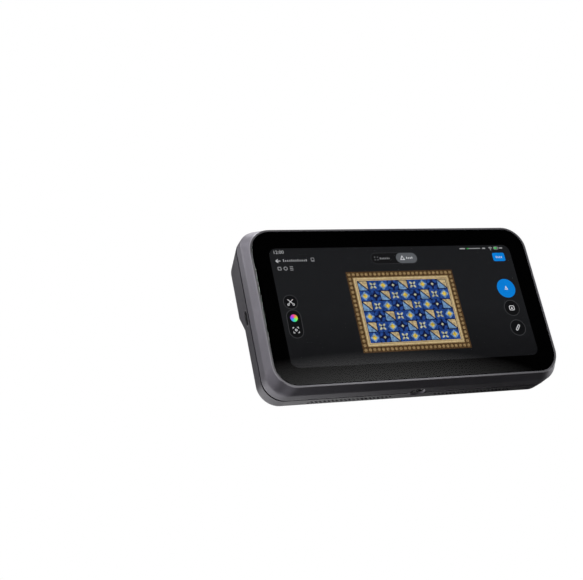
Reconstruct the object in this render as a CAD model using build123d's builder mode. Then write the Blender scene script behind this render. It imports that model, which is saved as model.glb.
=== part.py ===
from build123d import *
import os
from math import asin, degrees, sqrt

# Handheld three-d scanner, in millimetres, standing on its lower side.
# +X runs along its length, +Y from the screen to the camera window, +Z up.
# Depths are measured from the screen face, heights from the lower side.

# Body
body_width = 173.0
body_height = 93.5
body_depth = 28.0
body_corner = 12.0
top_corner = 8.5
fit_gap = 0.1
running_gap = 0.2
overrun = 1.0

# Front frame
frame_depth = 14.2
frame_wall = 2.2
frame_bevel = 2.0
bevel_depth = 6.5
bevel_corner = 13.0
bevel_round = 5.0
seam_round = 1.2
cavity_corner_step = 1.2
ledge_thickness = 1.5
ledge_width = 4.2

# Screen
glass_margin = 3.05
glass_thickness = 1.1
glass_edge = 0.25
border_film = 0.15
screen_gasket_thickness = 0.25
active_border = 9.65
active_corner = 4.5
panel_border = 2.6
panel_thickness = 1.6

# Middle plate that carries the electronics
plate_thickness = 1.6

# Rear housing
seam_gap = 0.3
shell_wall = 2.4
side_step = 0.05
low_step = 0.1
top_step = 0.4
shell_corner_step = 0.5
side_draft = 0.25
top_draft = 3.8
low_draft = 0.75
head_rise = 3.5
grip_round = 2.6
rim_width = 1.1
rim_round = 0.4
foot_drop = 2.0
foot_radius = 418.0
foot_end_drop = 6.0
lip_reach = 2.0
lip_thickness = 1.4
boss_radius = 2.6
boss_side_gap = 3.1
boss_drops = (57.5, 17.5)
pilot_depth = 6.0
edge_middle_share = 0.5

# Vent holes along the lower side
vent_radius = 0.75
vent_pitch = 2.4
vent_inner = 13.5
vent_end_gap = 27.4
vent_row_gap = 1.7
vent_setback = 3.7

# Camera window
window_drop = 5.4
window_side_margin = 1.45
window_low_gap = 3.0
window_top_corner = 10.0
window_low_corner = 8.5
smile_radius = 292.0
window_recess = 0.2
window_thickness = 1.2
window_film = 0.15
window_gasket_thickness = 0.3
window_ledge = 2.5
window_edge = 0.2
optics_gap = 0.25

# Optics bench and what stands on it
bench_standoff = 8.9
bench_thickness = 1.5
bench_side_gap = 8.5
bench_top_drop = 5.5
bench_corner = 6.0
standoff_radius = 2.5
standoff_inset = 18.0
standoff_top_inset = 3.5
standoff_low_inset = 5.0

# Cameras, lamps and projector, by the gaps between them and to the window's edge
stereo_gap = 5.6
stereo_aperture = 5.75
stereo_lens = 3.6
stereo_body = 15.0
wide_side_gap = 7.35
wide_top_gap = 2.55
wide_aperture = 4.25
wide_lens = 2.7
wide_body = 11.0
texture_gap = 4.8
texture_aperture = 3.65
texture_lens = 2.3
texture_body = 10.0
camera_body_depth = 4.5
barrel_wall = 0.6
mouth_depth = 0.9
mouth_step = 0.75
lens_thickness = 1.6
lens_dome = 0.7
lamp_side_gap = 6.75
lamp_pitch = 7.7
lamp_count = 4
lamp_aperture = 2.5
lamp_height = 1.7
lamp_dome = 0.8
lamp_block_margin = 0.7
projector_gap = 1.65
projector_width = 9.6
projector_height = 13.4
projector_corner = 1.2
projector_bezel_width = 1.3
projector_bezel_depth = 1.3
projector_margin = 1.6
projector_pane = 0.5
sensor_offset = 5.8
sensor_top_gap = 5.3
sensor_size = 5.3
sensor_corner = 0.4
fill_offset = 3.8
fill_gap = 2.1
fill_aperture = 2.2
fill_die_radius = 1.0
fill_die_height = 0.4
fill_cup_depth = 0.8

# Main board
board_standoff = 2.4
board_thickness = 1.2
board_side_inset = 8.0
board_top_drop = 5.5
board_corner = 2.0
board_post_radius = 2.2
board_post_side_inset = 4.0
board_post_top_inset = 3.0
board_post_low_inset = 4.0
zone_rise = 2.25
zone_gap = 1.5
processor_size = 18.0
processor_thickness = 1.6
processor_shift = 4.0
processor_low_inset = 0.5
chip_width = 11.0
chip_height = 8.0
chip_thickness = 1.1
chip_gap = 16.0
chip_pitch = 14.0
chip_count = 3
pad_thickness = 0.4
pad_margin = 1.0

# Cooling
spreader_thickness = 1.2
spreader_left_reach = 26.0
spreader_right_reach = 16.0
spreader_low = 4.8
fan_side_gap = 6.6
fan_wall = 1.2
fan_base = 0.8
fan_rear_gap = 0.9
fan_cover_thickness = 0.8
fan_inlet_share = 0.656
shaft_radius = 1.0
shaft_gap = 0.05
rotor_gap = 0.6
hub_share = 0.369
blade_count = 11
blade_thickness = 0.8
blade_lean = 28.0
fin_height = 5.8
fin_thickness = 0.5
fin_count = 12
fin_gap = 0.4

# Battery
battery_inner = 9.0
battery_outer_gap = 11.0
battery_low = 9.0
battery_rear_gap = 1.4
battery_corner = 2.0
tray_base = 1.0
tray_wall = 1.0
tray_rim = 2.4
lead_width = 8.0
lead_thickness = 0.4
lead_inset = 2.0
lead_reach = 5.0

# Socket on the left side
usb_length = 8.94
usb_width = 3.16
usb_inner_length = 8.34
usb_inner_width = 2.56
usb_reach = 7.3
usb_floor = 0.8
usb_tongue_length = 6.7
usb_tongue_width = 0.7
usb_tongue_reach = 4.6
usb_low_gap = 3.0
usb_recess = 0.15
usb_board_thickness = 1.0
usb_board_length = 16.0
usb_board_height = 13.0

# Tripod socket in the lower side
tripod_depth = 13.0
tripod_radius = 3.175
insert_wall = 0.9
insert_length = 7.0
insert_recess = 0.6
insert_mouth = 0.45
insert_boss_half = 7.0
insert_boss_wall = 0.9
insert_cap = 1.5

# Side keys
key_depth = 7.5
key_length = 9.4
key_width = 3.0
key_recess = 0.1
key_flange = 0.8
key_flange_thickness = 0.8
key_nub_radius = 0.9
key_nub_length = 0.8
key_travel = 0.5
key_rest_gap = 0.1
power_drop = 29.25
scan_drop = 42.5
rib_count = 4
rib_width = 1.0
rib_height = 0.5
switch_gap = 0.1
switch_size = 3.4
switch_thickness = 0.8
key_board_thickness = 0.8
key_board_width = 6.0
key_board_margin = 3.0

# Speaker
speaker_width = 16.0
speaker_top_gap = 4.0
speaker_thickness = 11.0
speaker_side_gap = 10.5
speaker_low = 8.0
speaker_corner = 2.0

# Flat flexible cables
flex_thickness = 0.3
flex_width = 16.0
flex_slot_gap = 0.3
display_flex_side = -20.0
display_flex_drop = 31.0
camera_flex_side = -8.0
camera_flex_drop = 36.0

# Fasteners
screw_head_radius = 1.8
screw_head_height = 0.9
screw_shank_radius = 0.8
screw_gap = 0.02
screw_bite = 1.1
long_screw_bite = 5.0
frame_screw_side = 30.0
frame_screw_height = 25.0
frame_screw_inset = 2.6
corner_screw_side = 8.6
corner_screw_drop = 8.4

# Depths that follow from the stack behind the screen
border_back = glass_thickness + border_film
ledge_front = border_back + screen_gasket_thickness
ledge_back = ledge_front + ledge_thickness
plate_back = ledge_back + plate_thickness
board_front = plate_back + board_standoff
board_back = board_front + board_thickness
bench_front = plate_back + bench_standoff
bench_back = bench_front + bench_thickness
processor_back = board_back + processor_thickness
spreader_front = processor_back + pad_thickness
spreader_back = spreader_front + spreader_thickness
fan_floor = spreader_back + fan_base

# Depths that follow from the stack behind the camera window
window_face = body_depth - window_recess
window_front = window_face - window_thickness
film_front = window_front - window_film
window_seat = film_front - window_gasket_thickness
optics_face = film_front - optics_gap
lamp_front = optics_face - lamp_height
bezel_front = optics_face - projector_bezel_depth

# Depths and sides of the rear housing
shell_front = frame_depth + seam_gap
grip_depth = body_depth - head_rise
cavity_back = grip_depth - shell_wall
fan_back = cavity_back - fan_rear_gap - fan_cover_thickness
shell_corner = body_corner - shell_corner_step
shell_top_corner = top_corner - shell_corner_step
shell_half_front = body_width / 2 - side_step
shell_high = body_height - top_step
boss_side = body_width / 2 - frame_wall - boss_side_gap

# Screen outlines
glass_width = body_width - 2 * glass_margin
glass_height = body_height - 2 * glass_margin
glass_corner = bevel_corner - (glass_margin - frame_bevel)
active_width = glass_width - 2 * active_border
active_height = glass_height - 2 * active_border
cavity_width = body_width - 2 * frame_wall
cavity_height = body_height - 2 * frame_wall
cavity_corner = body_corner - cavity_corner_step
middle = body_height / 2

# Heights that follow one another down the head, from its top
window_high = body_height - window_drop
sensor_height = window_high - sensor_top_gap - sensor_size / 2
optics_height = sensor_height - sensor_size / 2 - projector_gap - projector_height / 2
texture_height = optics_height - projector_height / 2 - texture_gap - texture_body / 2
fill_reach = fill_aperture + lamp_block_margin
fill_height = texture_height - texture_body / 2 - fill_gap - fill_reach
window_low = fill_height - fill_reach - window_low_gap
zone_height = window_low + zone_rise
bench_high = body_height - bench_top_drop
wide_height = window_high - wide_top_gap - wide_body / 2
usb_height = zone_height + usb_low_gap + usb_board_height / 2
power_height = body_height - power_drop
scan_height = body_height - scan_drop
processor_height = zone_height + processor_low_inset + processor_size / 2

# Sides that follow one another along the length, from its ends
window_half = body_width / 2 - window_side_margin
bench_half = body_width / 2 - bench_side_gap
board_half = bench_half - board_side_inset
standoff_side = bench_half - standoff_inset
board_post_side = board_half - board_post_side_inset
wide_offset = window_half - wide_side_gap - wide_body / 2
lamp_offset = window_half - lamp_side_gap - lamp_aperture - (lamp_count - 1) * lamp_pitch
lamp_reach = lamp_aperture + lamp_block_margin
stereo_offset = lamp_offset - lamp_reach - stereo_gap - stereo_body / 2
speaker_left = body_width / 2 - speaker_side_gap - speaker_width
vent_count = round((body_width / 2 - vent_end_gap - vent_inner) / vent_pitch) + 1

# Places that several pieces share
boss_rows = [body_height - drop for drop in boss_drops]
boss_points = [(side * boss_side, row) for side in (-1, 1) for row in boss_rows]
standoff_rows = (zone_height + standoff_low_inset, bench_high - standoff_top_inset)
standoff_points = [(side * standoff_side, row) for side in (-1, 1) for row in standoff_rows]
board_high = body_height - board_top_drop
board_post_rows = (zone_height + board_post_low_inset, board_high - board_post_top_inset)
board_post_points = [(side * board_post_side, row) for side in (-1, 1) for row in board_post_rows]
frame_screw_points = [
    (side * across, row)
    for side in (-1, 1)
    for across, row in (
        (cavity_width / 2 - frame_screw_inset, frame_screw_height),
        (body_width / 2 - corner_screw_side, body_height - corner_screw_drop),
        (frame_screw_side, frame_wall + frame_screw_inset),
        (frame_screw_side, body_height - frame_wall - frame_screw_inset),
    )
]
fin_high = spreader_low + fin_height
fan_outer_radius = (zone_height - zone_gap - fin_high - fit_gap) / 2
fan_inner_radius = fan_outer_radius - fan_wall
fan_height_place = zone_height - zone_gap - fan_outer_radius
fan_side = speaker_left - fan_side_gap - fan_outer_radius
hub_radius = fan_inner_radius * hub_share
processor_side = fan_side - processor_shift
chips_right = processor_side - processor_size / 2 - chip_gap
lead_side = chips_right - (chip_count - 1) * chip_pitch - chip_width + lead_inset
fan_low = fin_high + fin_gap
battery_high = zone_height - zone_gap
battery_outer = body_width / 2 - battery_outer_gap
battery_front = plate_back + tray_base + fit_gap
battery_back = cavity_back - battery_rear_gap
usb_depth = bench_back + usb_board_thickness + usb_width / 2
side_slope = side_draft / (body_depth - shell_front)
usb_mouth = shell_half_front - (usb_depth - shell_front) * side_slope - usb_recess
insert_radius = tripod_radius + insert_wall
insert_boss_radius = insert_radius + insert_boss_wall
insert_boss_high = insert_length + insert_cap
vent_reach = frame_wall + lip_thickness + overrun
key_inner = body_width / 2 - frame_wall - key_rest_gap
key_nub_tip = key_inner - key_flange_thickness - key_nub_length
switch_face = key_nub_tip - key_travel - switch_gap
key_board_face = switch_face - switch_thickness
corner_height = window_low + smile_radius - sqrt(
    (smile_radius - window_low_corner) ** 2 - (window_half - window_low_corner) ** 2
)

os.makedirs("parts", exist_ok=True)


def write(piece, name):
    """Label a finished piece and write its file."""
    piece.part.label = name
    export_step(piece.part, f"parts/{name}.step")


def layer(depth):
    """Upright plane at a depth behind the screen face, read as the screen is read."""
    return Plane.XZ.offset(body_depth / 2 - depth)


def rounded_outline(width, height, corner, centre, depth):
    """Rectangle with round corners at a depth, centred at (side, height)."""
    with BuildSketch(layer(depth)) as outline:
        with Locations(centre):
            RectangleRounded(width, height, corner)
    return outline.sketch


def body_outline(half, low, high, low_corner, high_corner, depth):
    """Outline of the body at a depth, with corners of their own below and above."""
    with BuildSketch(layer(depth)) as outline:
        with Locations((0, (low + high) / 2)):
            Rectangle(2 * half, high - low)
        fillet(outline.vertices().group_by(Axis.Y)[0], low_corner)
        fillet(outline.vertices().group_by(Axis.Y)[-1], high_corner)
    return outline.sketch


def rounded_slab(width, height, corner, centre, front, back, mode=Mode.ADD):
    """Upright plate with round corners between two depths, centred at (side, height)."""
    outline = rounded_outline(width, height, corner, centre, front)
    extrude(outline, amount=front - back, mode=mode)


def block(low, high, mode=Mode.ADD):
    """Box between two corners, each given as side, depth and height."""
    spans = [far - near for near, far in zip(low, high)]
    side, depth, height = [(near + far) / 2 for near, far in zip(low, high)]
    with Locations((side, depth - body_depth / 2, height)):
        Box(*spans, mode=mode)


def stud(depth, radius, low, high, mode=Mode.ADD):
    """Round stud, or hole, that stands upright between two heights at the middle of the length."""
    with Locations((0, depth - body_depth / 2, low)):
        Cylinder(radius, high - low, align=(Align.CENTER, Align.CENTER, Align.MIN), mode=mode)


def posts(points, radius, front, back, mode=Mode.ADD):
    """Round posts, or holes, that run in depth at each (side, height)."""
    with BuildSketch(layer(front)) as discs:
        with Locations(*points):
            Circle(radius)
    extrude(discs.sketch, amount=front - back, mode=mode)


def pill(side, end, depth, height, length, width, mode=Mode.ADD):
    """Upright long-hole shape that runs sideways from one side place to another."""
    with BuildSketch(Plane.YZ.offset(side)) as outline:
        with Locations((depth - body_depth / 2, height)):
            SlotOverall(length, width, rotation=90)
    extrude(outline.sketch, amount=end - side, mode=mode)


def screws(points, head_front, head_back, tip):
    """Round-headed screws whose shanks run from the head to a tip in front or behind."""
    posts(points, screw_head_radius, head_front, head_back)
    start = head_back if tip > head_back else head_front
    posts(points, screw_shank_radius - screw_gap, start, tip)


def shell_section(depth, inset):
    """Round-cornered outline of the rear housing at a depth, drawn in by an inset."""
    share = (depth - shell_front) / (body_depth - shell_front)
    half = shell_half_front - side_draft * share - inset
    low = low_step + low_draft * share + inset
    high = shell_high - top_draft * share - inset
    high_corner = shell_top_corner + (window_top_corner + rim_width - shell_top_corner) * share
    return body_outline(half, low, high, shell_corner - inset, high_corner - inset, depth)


def grip_outline(depth):
    """Everything below the head's smile-shaped lower edge, at a depth of the sloping skirt."""
    share = (depth - grip_depth) / (body_depth - grip_depth)
    low = window_low - rim_width - foot_drop * (1 - share)
    radius = foot_radius + (smile_radius + rim_width - foot_radius) * share
    turn = degrees(asin((window_half - window_low_corner) / radius))
    end = (shell_half_front + overrun, corner_height - foot_end_drop * (1 - share))
    with BuildSketch(layer(depth)) as outline:
        with BuildLine():
            smile = CenterArc((0, low + radius), radius, 270, turn)
            TangentArc(smile @ 1, end, tangent=smile % 1)
            Polyline(end, (end[0], -overrun), (0, -overrun))
            mirror(about=Plane.YZ)
        make_face()
    return outline.sketch


def window_outline(depth, inset):
    """Camera window's outline, drawn in by an inset: straight top and sides over a smile."""
    half = window_half - inset
    high = window_high - inset
    radius = smile_radius - inset
    centre = window_low + smile_radius
    side_low = centre - sqrt(radius**2 - half**2)
    with BuildSketch(layer(depth)) as outline:
        with BuildLine():
            ThreePointArc((-half, side_low), (0, centre - radius), (half, side_low))
            Polyline((half, side_low), (half, high), (-half, high), (-half, side_low))
        make_face()
        fillet(outline.vertices().group_by(Axis.Y)[-1], window_top_corner - inset)
        fillet(outline.vertices().group_by(Axis.Y)[0], window_low_corner - inset)
    return outline.sketch


def fan_outline(depth, radius, low):
    """Round fan well with a straight outlet down to a height."""
    with BuildSketch(layer(depth)) as outline:
        with Locations((fan_side, fan_height_place)):
            Circle(radius)
        with Locations((fan_side, (fan_height_place + low) / 2)):
            Rectangle(2 * radius, fan_height_place - low)
    return outline.sketch


# Front frame: a bevelled tub whose ledge carries the screen in front and the plate behind
with BuildPart() as front_frame:
    loft(
        [
            body_outline(
                body_width / 2 - frame_bevel,
                frame_bevel,
                body_height - frame_bevel,
                bevel_corner,
                bevel_corner,
                0,
            ),
            body_outline(body_width / 2, 0, body_height, body_corner, top_corner, bevel_depth),
        ],
        ruled=True,
    )
    extrude(
        body_outline(body_width / 2, 0, body_height, body_corner, top_corner, bevel_depth),
        amount=bevel_depth - frame_depth,
    )
    fillet(front_frame.edges().group_by(Axis.Y)[2], bevel_round)
    fillet(front_frame.faces().sort_by(Axis.Y)[-1].edges(), seam_round)
    rounded_slab(
        glass_width + 2 * fit_gap,
        glass_height + 2 * fit_gap,
        glass_corner + fit_gap,
        (0, middle),
        -overrun,
        ledge_front,
        Mode.SUBTRACT,
    )
    rounded_slab(
        glass_width - 2 * ledge_width,
        glass_height - 2 * ledge_width,
        glass_corner - ledge_width,
        (0, middle),
        0,
        frame_depth,
        Mode.SUBTRACT,
    )
    rounded_slab(
        cavity_width,
        cavity_height,
        cavity_corner,
        (0, middle),
        ledge_back,
        frame_depth + overrun,
        Mode.SUBTRACT,
    )
    block(
        (-insert_boss_half, tripod_depth - insert_boss_radius, frame_wall / 2),
        (insert_boss_half, frame_depth, insert_boss_high),
    )
    stud(tripod_depth, insert_boss_radius, 0, insert_boss_high)
    stud(tripod_depth, insert_radius, 0, insert_length, Mode.SUBTRACT)
    with Locations((0, tripod_depth - body_depth / 2, 0)):
        Cone(
            insert_radius + insert_mouth,
            insert_radius,
            insert_mouth,
            align=(Align.CENTER, Align.CENTER, Align.MIN),
            mode=Mode.SUBTRACT,
        )
    for key_height in (power_height, scan_height):
        pill(
            body_width / 2 - frame_wall - overrun,
            body_width / 2 + overrun,
            key_depth,
            key_height,
            key_length + 2 * running_gap,
            key_width + 2 * running_gap,
            Mode.SUBTRACT,
        )
    posts(frame_screw_points, screw_shank_radius, ledge_back - screw_bite, ledge_back, Mode.SUBTRACT)
write(front_frame, "front_frame")

# Screen: cover glass, printed border, gasket and display panel
with BuildPart() as screen_glass:
    rounded_slab(glass_width, glass_height, glass_corner, (0, middle), 0, glass_thickness)
    chamfer(screen_glass.faces().sort_by(Axis.Y)[0].edges(), glass_edge)
write(screen_glass, "screen_glass")

with BuildPart() as border_mask:
    rounded_slab(
        glass_width - 2 * fit_gap,
        glass_height - 2 * fit_gap,
        glass_corner - fit_gap,
        (0, middle),
        glass_thickness,
        border_back,
    )
    rounded_slab(
        active_width,
        active_height,
        active_corner,
        (0, middle),
        0,
        ledge_front,
        Mode.SUBTRACT,
    )
write(border_mask, "border_mask")

with BuildPart() as screen_gasket:
    rounded_slab(
        glass_width - 2 * fit_gap,
        glass_height - 2 * fit_gap,
        glass_corner - fit_gap,
        (0, middle),
        border_back,
        ledge_front,
    )
    rounded_slab(
        glass_width - 2 * ledge_width,
        glass_height - 2 * ledge_width,
        glass_corner - ledge_width,
        (0, middle),
        0,
        frame_depth,
        Mode.SUBTRACT,
    )
write(screen_gasket, "screen_gasket")

with BuildPart() as display_panel:
    rounded_slab(
        active_width + 2 * panel_border,
        active_height + 2 * panel_border,
        active_corner + panel_border,
        (0, middle),
        border_back,
        border_back + panel_thickness,
    )
write(display_panel, "display_panel")

# Middle plate, screwed into the ledge from behind and to the housing's bosses from the front
with BuildPart() as mid_plate:
    rounded_slab(
        cavity_width - 2 * fit_gap,
        cavity_height - 2 * fit_gap,
        cavity_corner - fit_gap,
        (0, middle),
        ledge_back,
        plate_back,
    )
    posts(frame_screw_points, screw_shank_radius + fit_gap, ledge_back, plate_back, Mode.SUBTRACT)
    posts(boss_points, screw_shank_radius + fit_gap, ledge_back, plate_back, Mode.SUBTRACT)
    posts(
        boss_points,
        screw_head_radius + fit_gap,
        ledge_back,
        ledge_back + screw_head_height + fit_gap,
        Mode.SUBTRACT,
    )
    block(
        (
            display_flex_side - flex_width / 2 - flex_slot_gap,
            ledge_back,
            body_height - display_flex_drop - flex_slot_gap,
        ),
        (
            display_flex_side + flex_width / 2 + flex_slot_gap,
            plate_back,
            body_height - display_flex_drop + flex_thickness + flex_slot_gap,
        ),
        Mode.SUBTRACT,
    )
write(mid_plate, "mid_plate")

# Rear housing: grip below, raised head with the window pocket above
with BuildPart() as rear_housing:
    loft([shell_section(depth, 0) for depth in (shell_front, body_depth)], ruled=True)
    loft(
        [grip_outline(grip_depth), grip_outline(body_depth + overrun)],
        ruled=True,
        mode=Mode.SUBTRACT,
    )
    grip_face = rear_housing.faces().filter_by(Axis.Y).sort_by(Axis.Y)[1]
    grip_edges = grip_face.edges().filter_by(
        lambda edge: abs((edge @ edge_middle_share).X) > window_half
        or (edge @ edge_middle_share).Z < low_step + shell_corner
    )
    fillet(grip_edges, grip_round)
    fillet(rear_housing.faces().filter_by(Axis.Y).sort_by(Axis.Y)[-1].edges(), rim_round)
    loft(
        [shell_section(depth, shell_wall) for depth in (shell_front - overrun, cavity_back)],
        ruled=True,
        mode=Mode.SUBTRACT,
    )
    with BuildSketch(layer(frame_depth - lip_reach)) as lip:
        with Locations((0, middle)):
            RectangleRounded(
                cavity_width - 2 * fit_gap,
                cavity_height - 2 * fit_gap,
                cavity_corner - fit_gap,
            )
            RectangleRounded(
                cavity_width - 2 * lip_thickness,
                cavity_height - 2 * lip_thickness,
                cavity_corner - lip_thickness,
                mode=Mode.SUBTRACT,
            )
    extrude(lip.sketch, amount=-(2 * lip_reach + seam_gap))
    posts(boss_points, boss_radius, plate_back, cavity_back + overrun)
    extrude(
        window_outline(cavity_back - overrun, window_ledge),
        amount=-(shell_wall + body_depth - grip_depth + 2 * overrun),
        mode=Mode.SUBTRACT,
    )
    extrude(
        window_outline(window_seat, -fit_gap),
        amount=-(body_depth - window_seat + overrun),
        mode=Mode.SUBTRACT,
    )
    posts(boss_points, screw_shank_radius, plate_back, plate_back + pilot_depth, Mode.SUBTRACT)
    pill(
        -body_width / 2 - overrun,
        usb_reach - usb_mouth + fit_gap,
        usb_depth,
        usb_height,
        usb_length + 2 * fit_gap,
        usb_width + 2 * fit_gap,
        Mode.SUBTRACT,
    )
    for row, shift in ((0, 0), (1, vent_pitch / 2)):
        for side in (-1, 1):
            row_depth = shell_front + vent_setback + row * vent_row_gap
            row_middle = vent_inner + shift + (vent_count - 1) * vent_pitch / 2
            with Locations((side * row_middle, row_depth - body_depth / 2, 0)):
                with GridLocations(vent_pitch, 0, vent_count, 1):
                    Cylinder(vent_radius, 2 * vent_reach, mode=Mode.SUBTRACT)
    block(
        (-insert_boss_half - fit_gap, frame_depth - lip_reach, 0),
        (insert_boss_half + fit_gap, shell_front, insert_boss_high + fit_gap),
        Mode.SUBTRACT,
    )
    stud(tripod_depth, insert_boss_radius + fit_gap, 0, insert_boss_high + fit_gap, Mode.SUBTRACT)
write(rear_housing, "rear_housing")

# Camera window: tinted pane, printed film with apertures, gasket
with BuildPart() as optical_window:
    extrude(window_outline(window_front, 0), amount=-window_thickness)
    chamfer(optical_window.faces().sort_by(Axis.Y)[-1].edges(), window_edge)
write(optical_window, "optical_window")

lamp_points = {
    side: [(sign * (lamp_offset + step * lamp_pitch), optics_height) for step in range(lamp_count)]
    for side, sign in (("left", -1), ("right", 1))
}
sensor_points = [(side * sensor_offset, sensor_height) for side in (-1, 1)]
fill_points = [(side * fill_offset, fill_height) for side in (-1, 1)]

with BuildPart() as window_mask:
    extrude(window_outline(film_front, fit_gap), amount=-window_film)
    for points, radius in (
        ([(-stereo_offset, optics_height), (stereo_offset, optics_height)], stereo_aperture),
        ([(-wide_offset, wide_height), (wide_offset, wide_height)], wide_aperture),
        ([(0, texture_height)], texture_aperture),
        (lamp_points["left"] + lamp_points["right"], lamp_aperture),
        (fill_points, fill_aperture),
    ):
        posts(points, radius, window_seat, window_front, Mode.SUBTRACT)
    rounded_slab(
        projector_width,
        projector_height,
        projector_corner,
        (0, optics_height),
        window_seat,
        window_front,
        Mode.SUBTRACT,
    )
    for place in sensor_points:
        rounded_slab(
            sensor_size,
            sensor_size,
            sensor_corner,
            place,
            window_seat,
            window_front,
            Mode.SUBTRACT,
        )
write(window_mask, "window_mask")

with BuildPart() as window_gasket:
    extrude(window_outline(window_seat, fit_gap), amount=-window_gasket_thickness)
    extrude(
        window_outline(window_seat - overrun, window_ledge),
        amount=-(window_gasket_thickness + 2 * overrun),
        mode=Mode.SUBTRACT,
    )
write(window_gasket, "window_gasket")

# Optics bench on four standoffs
with BuildPart() as optics_bench:
    rounded_slab(
        2 * bench_half,
        bench_high - zone_height,
        bench_corner,
        (0, (zone_height + bench_high) / 2),
        bench_front,
        bench_back,
    )
    posts(standoff_points, screw_shank_radius + fit_gap, bench_front, bench_back, Mode.SUBTRACT)
write(optics_bench, "optics_bench")

with BuildPart() as bench_standoffs:
    posts(standoff_points, standoff_radius, plate_back, bench_front)
    posts(standoff_points, screw_shank_radius, bench_front - long_screw_bite, bench_front, Mode.SUBTRACT)
write(bench_standoffs, "bench_standoffs")


def write_camera(name, place, aperture, lens_radius, body_size):
    """Camera module with a stepped barrel, and the lens that sits in its mouth."""
    side, height = place
    barrel_front = bench_back + camera_body_depth
    lens_front = optics_face - mouth_depth - lens_thickness
    with BuildPart() as camera:
        block(
            (side - body_size / 2, bench_back, height - body_size / 2),
            (side + body_size / 2, barrel_front, height + body_size / 2),
        )
        posts([place], aperture + barrel_wall, barrel_front, optics_face)
        posts([place], aperture - mouth_step, optics_face - mouth_depth / 2, optics_face, Mode.SUBTRACT)
        posts([place], lens_radius, lens_front, optics_face, Mode.SUBTRACT)
    write(camera, f"{name}_camera")
    with BuildPart() as lens:
        posts([place], lens_radius - screw_gap, lens_front, lens_front + lens_thickness)
        fillet(lens.faces().sort_by(Axis.Y)[-1].edges(), lens_dome)
    write(lens, f"{name}_lens")


def write_lamps(side):
    """Row of infrared lamps on the metal block that cools them."""
    across = [place[0] for place in lamp_points[side]]
    with BuildPart() as lamp_block:
        block(
            (min(across) - lamp_reach, bench_back, optics_height - lamp_reach),
            (max(across) + lamp_reach, lamp_front, optics_height + lamp_reach),
        )
    write(lamp_block, f"{side}_lamp_block")
    with BuildPart() as lamps:
        posts(lamp_points[side], lamp_aperture, lamp_front, optics_face)
        fillet(lamps.faces().filter_by(Axis.Y).group_by(Axis.Y)[-1].edges(), lamp_dome)
    write(lamps, f"{side}_infrared_lamps")


# Cameras and lamps, left and right as seen from the screen
for side, sign in (("left", -1), ("right", 1)):
    write_camera(
        f"{side}_stereo",
        (sign * stereo_offset, optics_height),
        stereo_aperture,
        stereo_lens,
        stereo_body,
    )
    write_camera(
        f"{side}_wide",
        (sign * wide_offset, wide_height),
        wide_aperture,
        wide_lens,
        wide_body,
    )
    write_lamps(side)
write_camera(
    "texture",
    (0, texture_height),
    texture_aperture,
    texture_lens,
    texture_body,
)

# Pattern projector: body, pale bezel and dark pane
with BuildPart() as projector_body:
    block(
        (-projector_width / 2 - projector_margin, bench_back, optics_height - projector_height / 2),
        (projector_width / 2 + projector_margin, bezel_front, optics_height + projector_height / 2),
    )
write(projector_body, "projector_body")

with BuildPart() as projector_bezel:
    rounded_slab(
        projector_width,
        projector_height,
        projector_corner,
        (0, optics_height),
        bezel_front,
        optics_face,
    )
    block(
        (
            projector_bezel_width - projector_width / 2,
            bezel_front,
            optics_height + projector_bezel_width - projector_height / 2,
        ),
        (
            projector_width / 2 - projector_bezel_width,
            optics_face,
            optics_height + projector_height / 2 - projector_bezel_width,
        ),
        Mode.SUBTRACT,
    )
write(projector_bezel, "projector_bezel")

with BuildPart() as projector_lens:
    block(
        (
            projector_bezel_width + fit_gap - projector_width / 2,
            bezel_front,
            optics_height + projector_bezel_width + fit_gap - projector_height / 2,
        ),
        (
            projector_width / 2 - projector_bezel_width - fit_gap,
            bezel_front + projector_pane,
            optics_height + projector_height / 2 - projector_bezel_width - fit_gap,
        ),
    )
write(projector_lens, "projector_lens")

# Two square range sensors on one block
with BuildPart() as sensor_block:
    reach = sensor_size / 2 + lamp_block_margin
    block(
        (-sensor_offset - reach, bench_back, sensor_height - sensor_size / 2),
        (sensor_offset + reach, lamp_front, sensor_height + sensor_size / 2),
    )
write(sensor_block, "sensor_block")

with BuildPart() as range_sensors:
    for place in sensor_points:
        rounded_slab(sensor_size, sensor_size, sensor_corner, place, lamp_front, optics_face)
write(range_sensors, "range_sensors")

# Two white fill lamps: cups with a yellow die in each
with BuildPart() as fill_lamp_block:
    block(
        (-fill_offset - fill_reach, bench_back, fill_height - fill_reach),
        (fill_offset + fill_reach, lamp_front, fill_height + fill_reach),
    )
write(fill_lamp_block, "fill_lamp_block")

with BuildPart() as fill_lamps:
    posts(fill_points, fill_aperture, lamp_front, optics_face)
    posts(
        fill_points,
        fill_aperture - barrel_wall,
        optics_face - fill_cup_depth,
        optics_face,
        Mode.SUBTRACT,
    )
write(fill_lamps, "fill_lamps")

with BuildPart() as fill_lamp_dies:
    die_front = optics_face - fill_cup_depth
    posts(fill_points, fill_die_radius, die_front, die_front + fill_die_height)
write(fill_lamp_dies, "fill_lamp_dies")

# Main board with its posts, screws and chips
with BuildPart() as main_board:
    rounded_slab(
        2 * board_half,
        board_high - zone_height,
        board_corner,
        (0, (board_high + zone_height) / 2),
        board_front,
        board_back,
    )
    posts(standoff_points, standoff_radius + fit_gap, board_front, board_back, Mode.SUBTRACT)
    posts(board_post_points, screw_shank_radius + fit_gap, board_front, board_back, Mode.SUBTRACT)
write(main_board, "main_board")

with BuildPart() as board_posts:
    posts(board_post_points, board_post_radius, plate_back, board_front)
    posts(board_post_points, screw_shank_radius, board_front - screw_bite, board_front, Mode.SUBTRACT)
write(board_posts, "board_posts")

with BuildPart() as processor:
    block(
        (processor_side - processor_size / 2, board_back, processor_height - processor_size / 2),
        (processor_side + processor_size / 2, processor_back, processor_height + processor_size / 2),
    )
write(processor, "processor")

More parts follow.
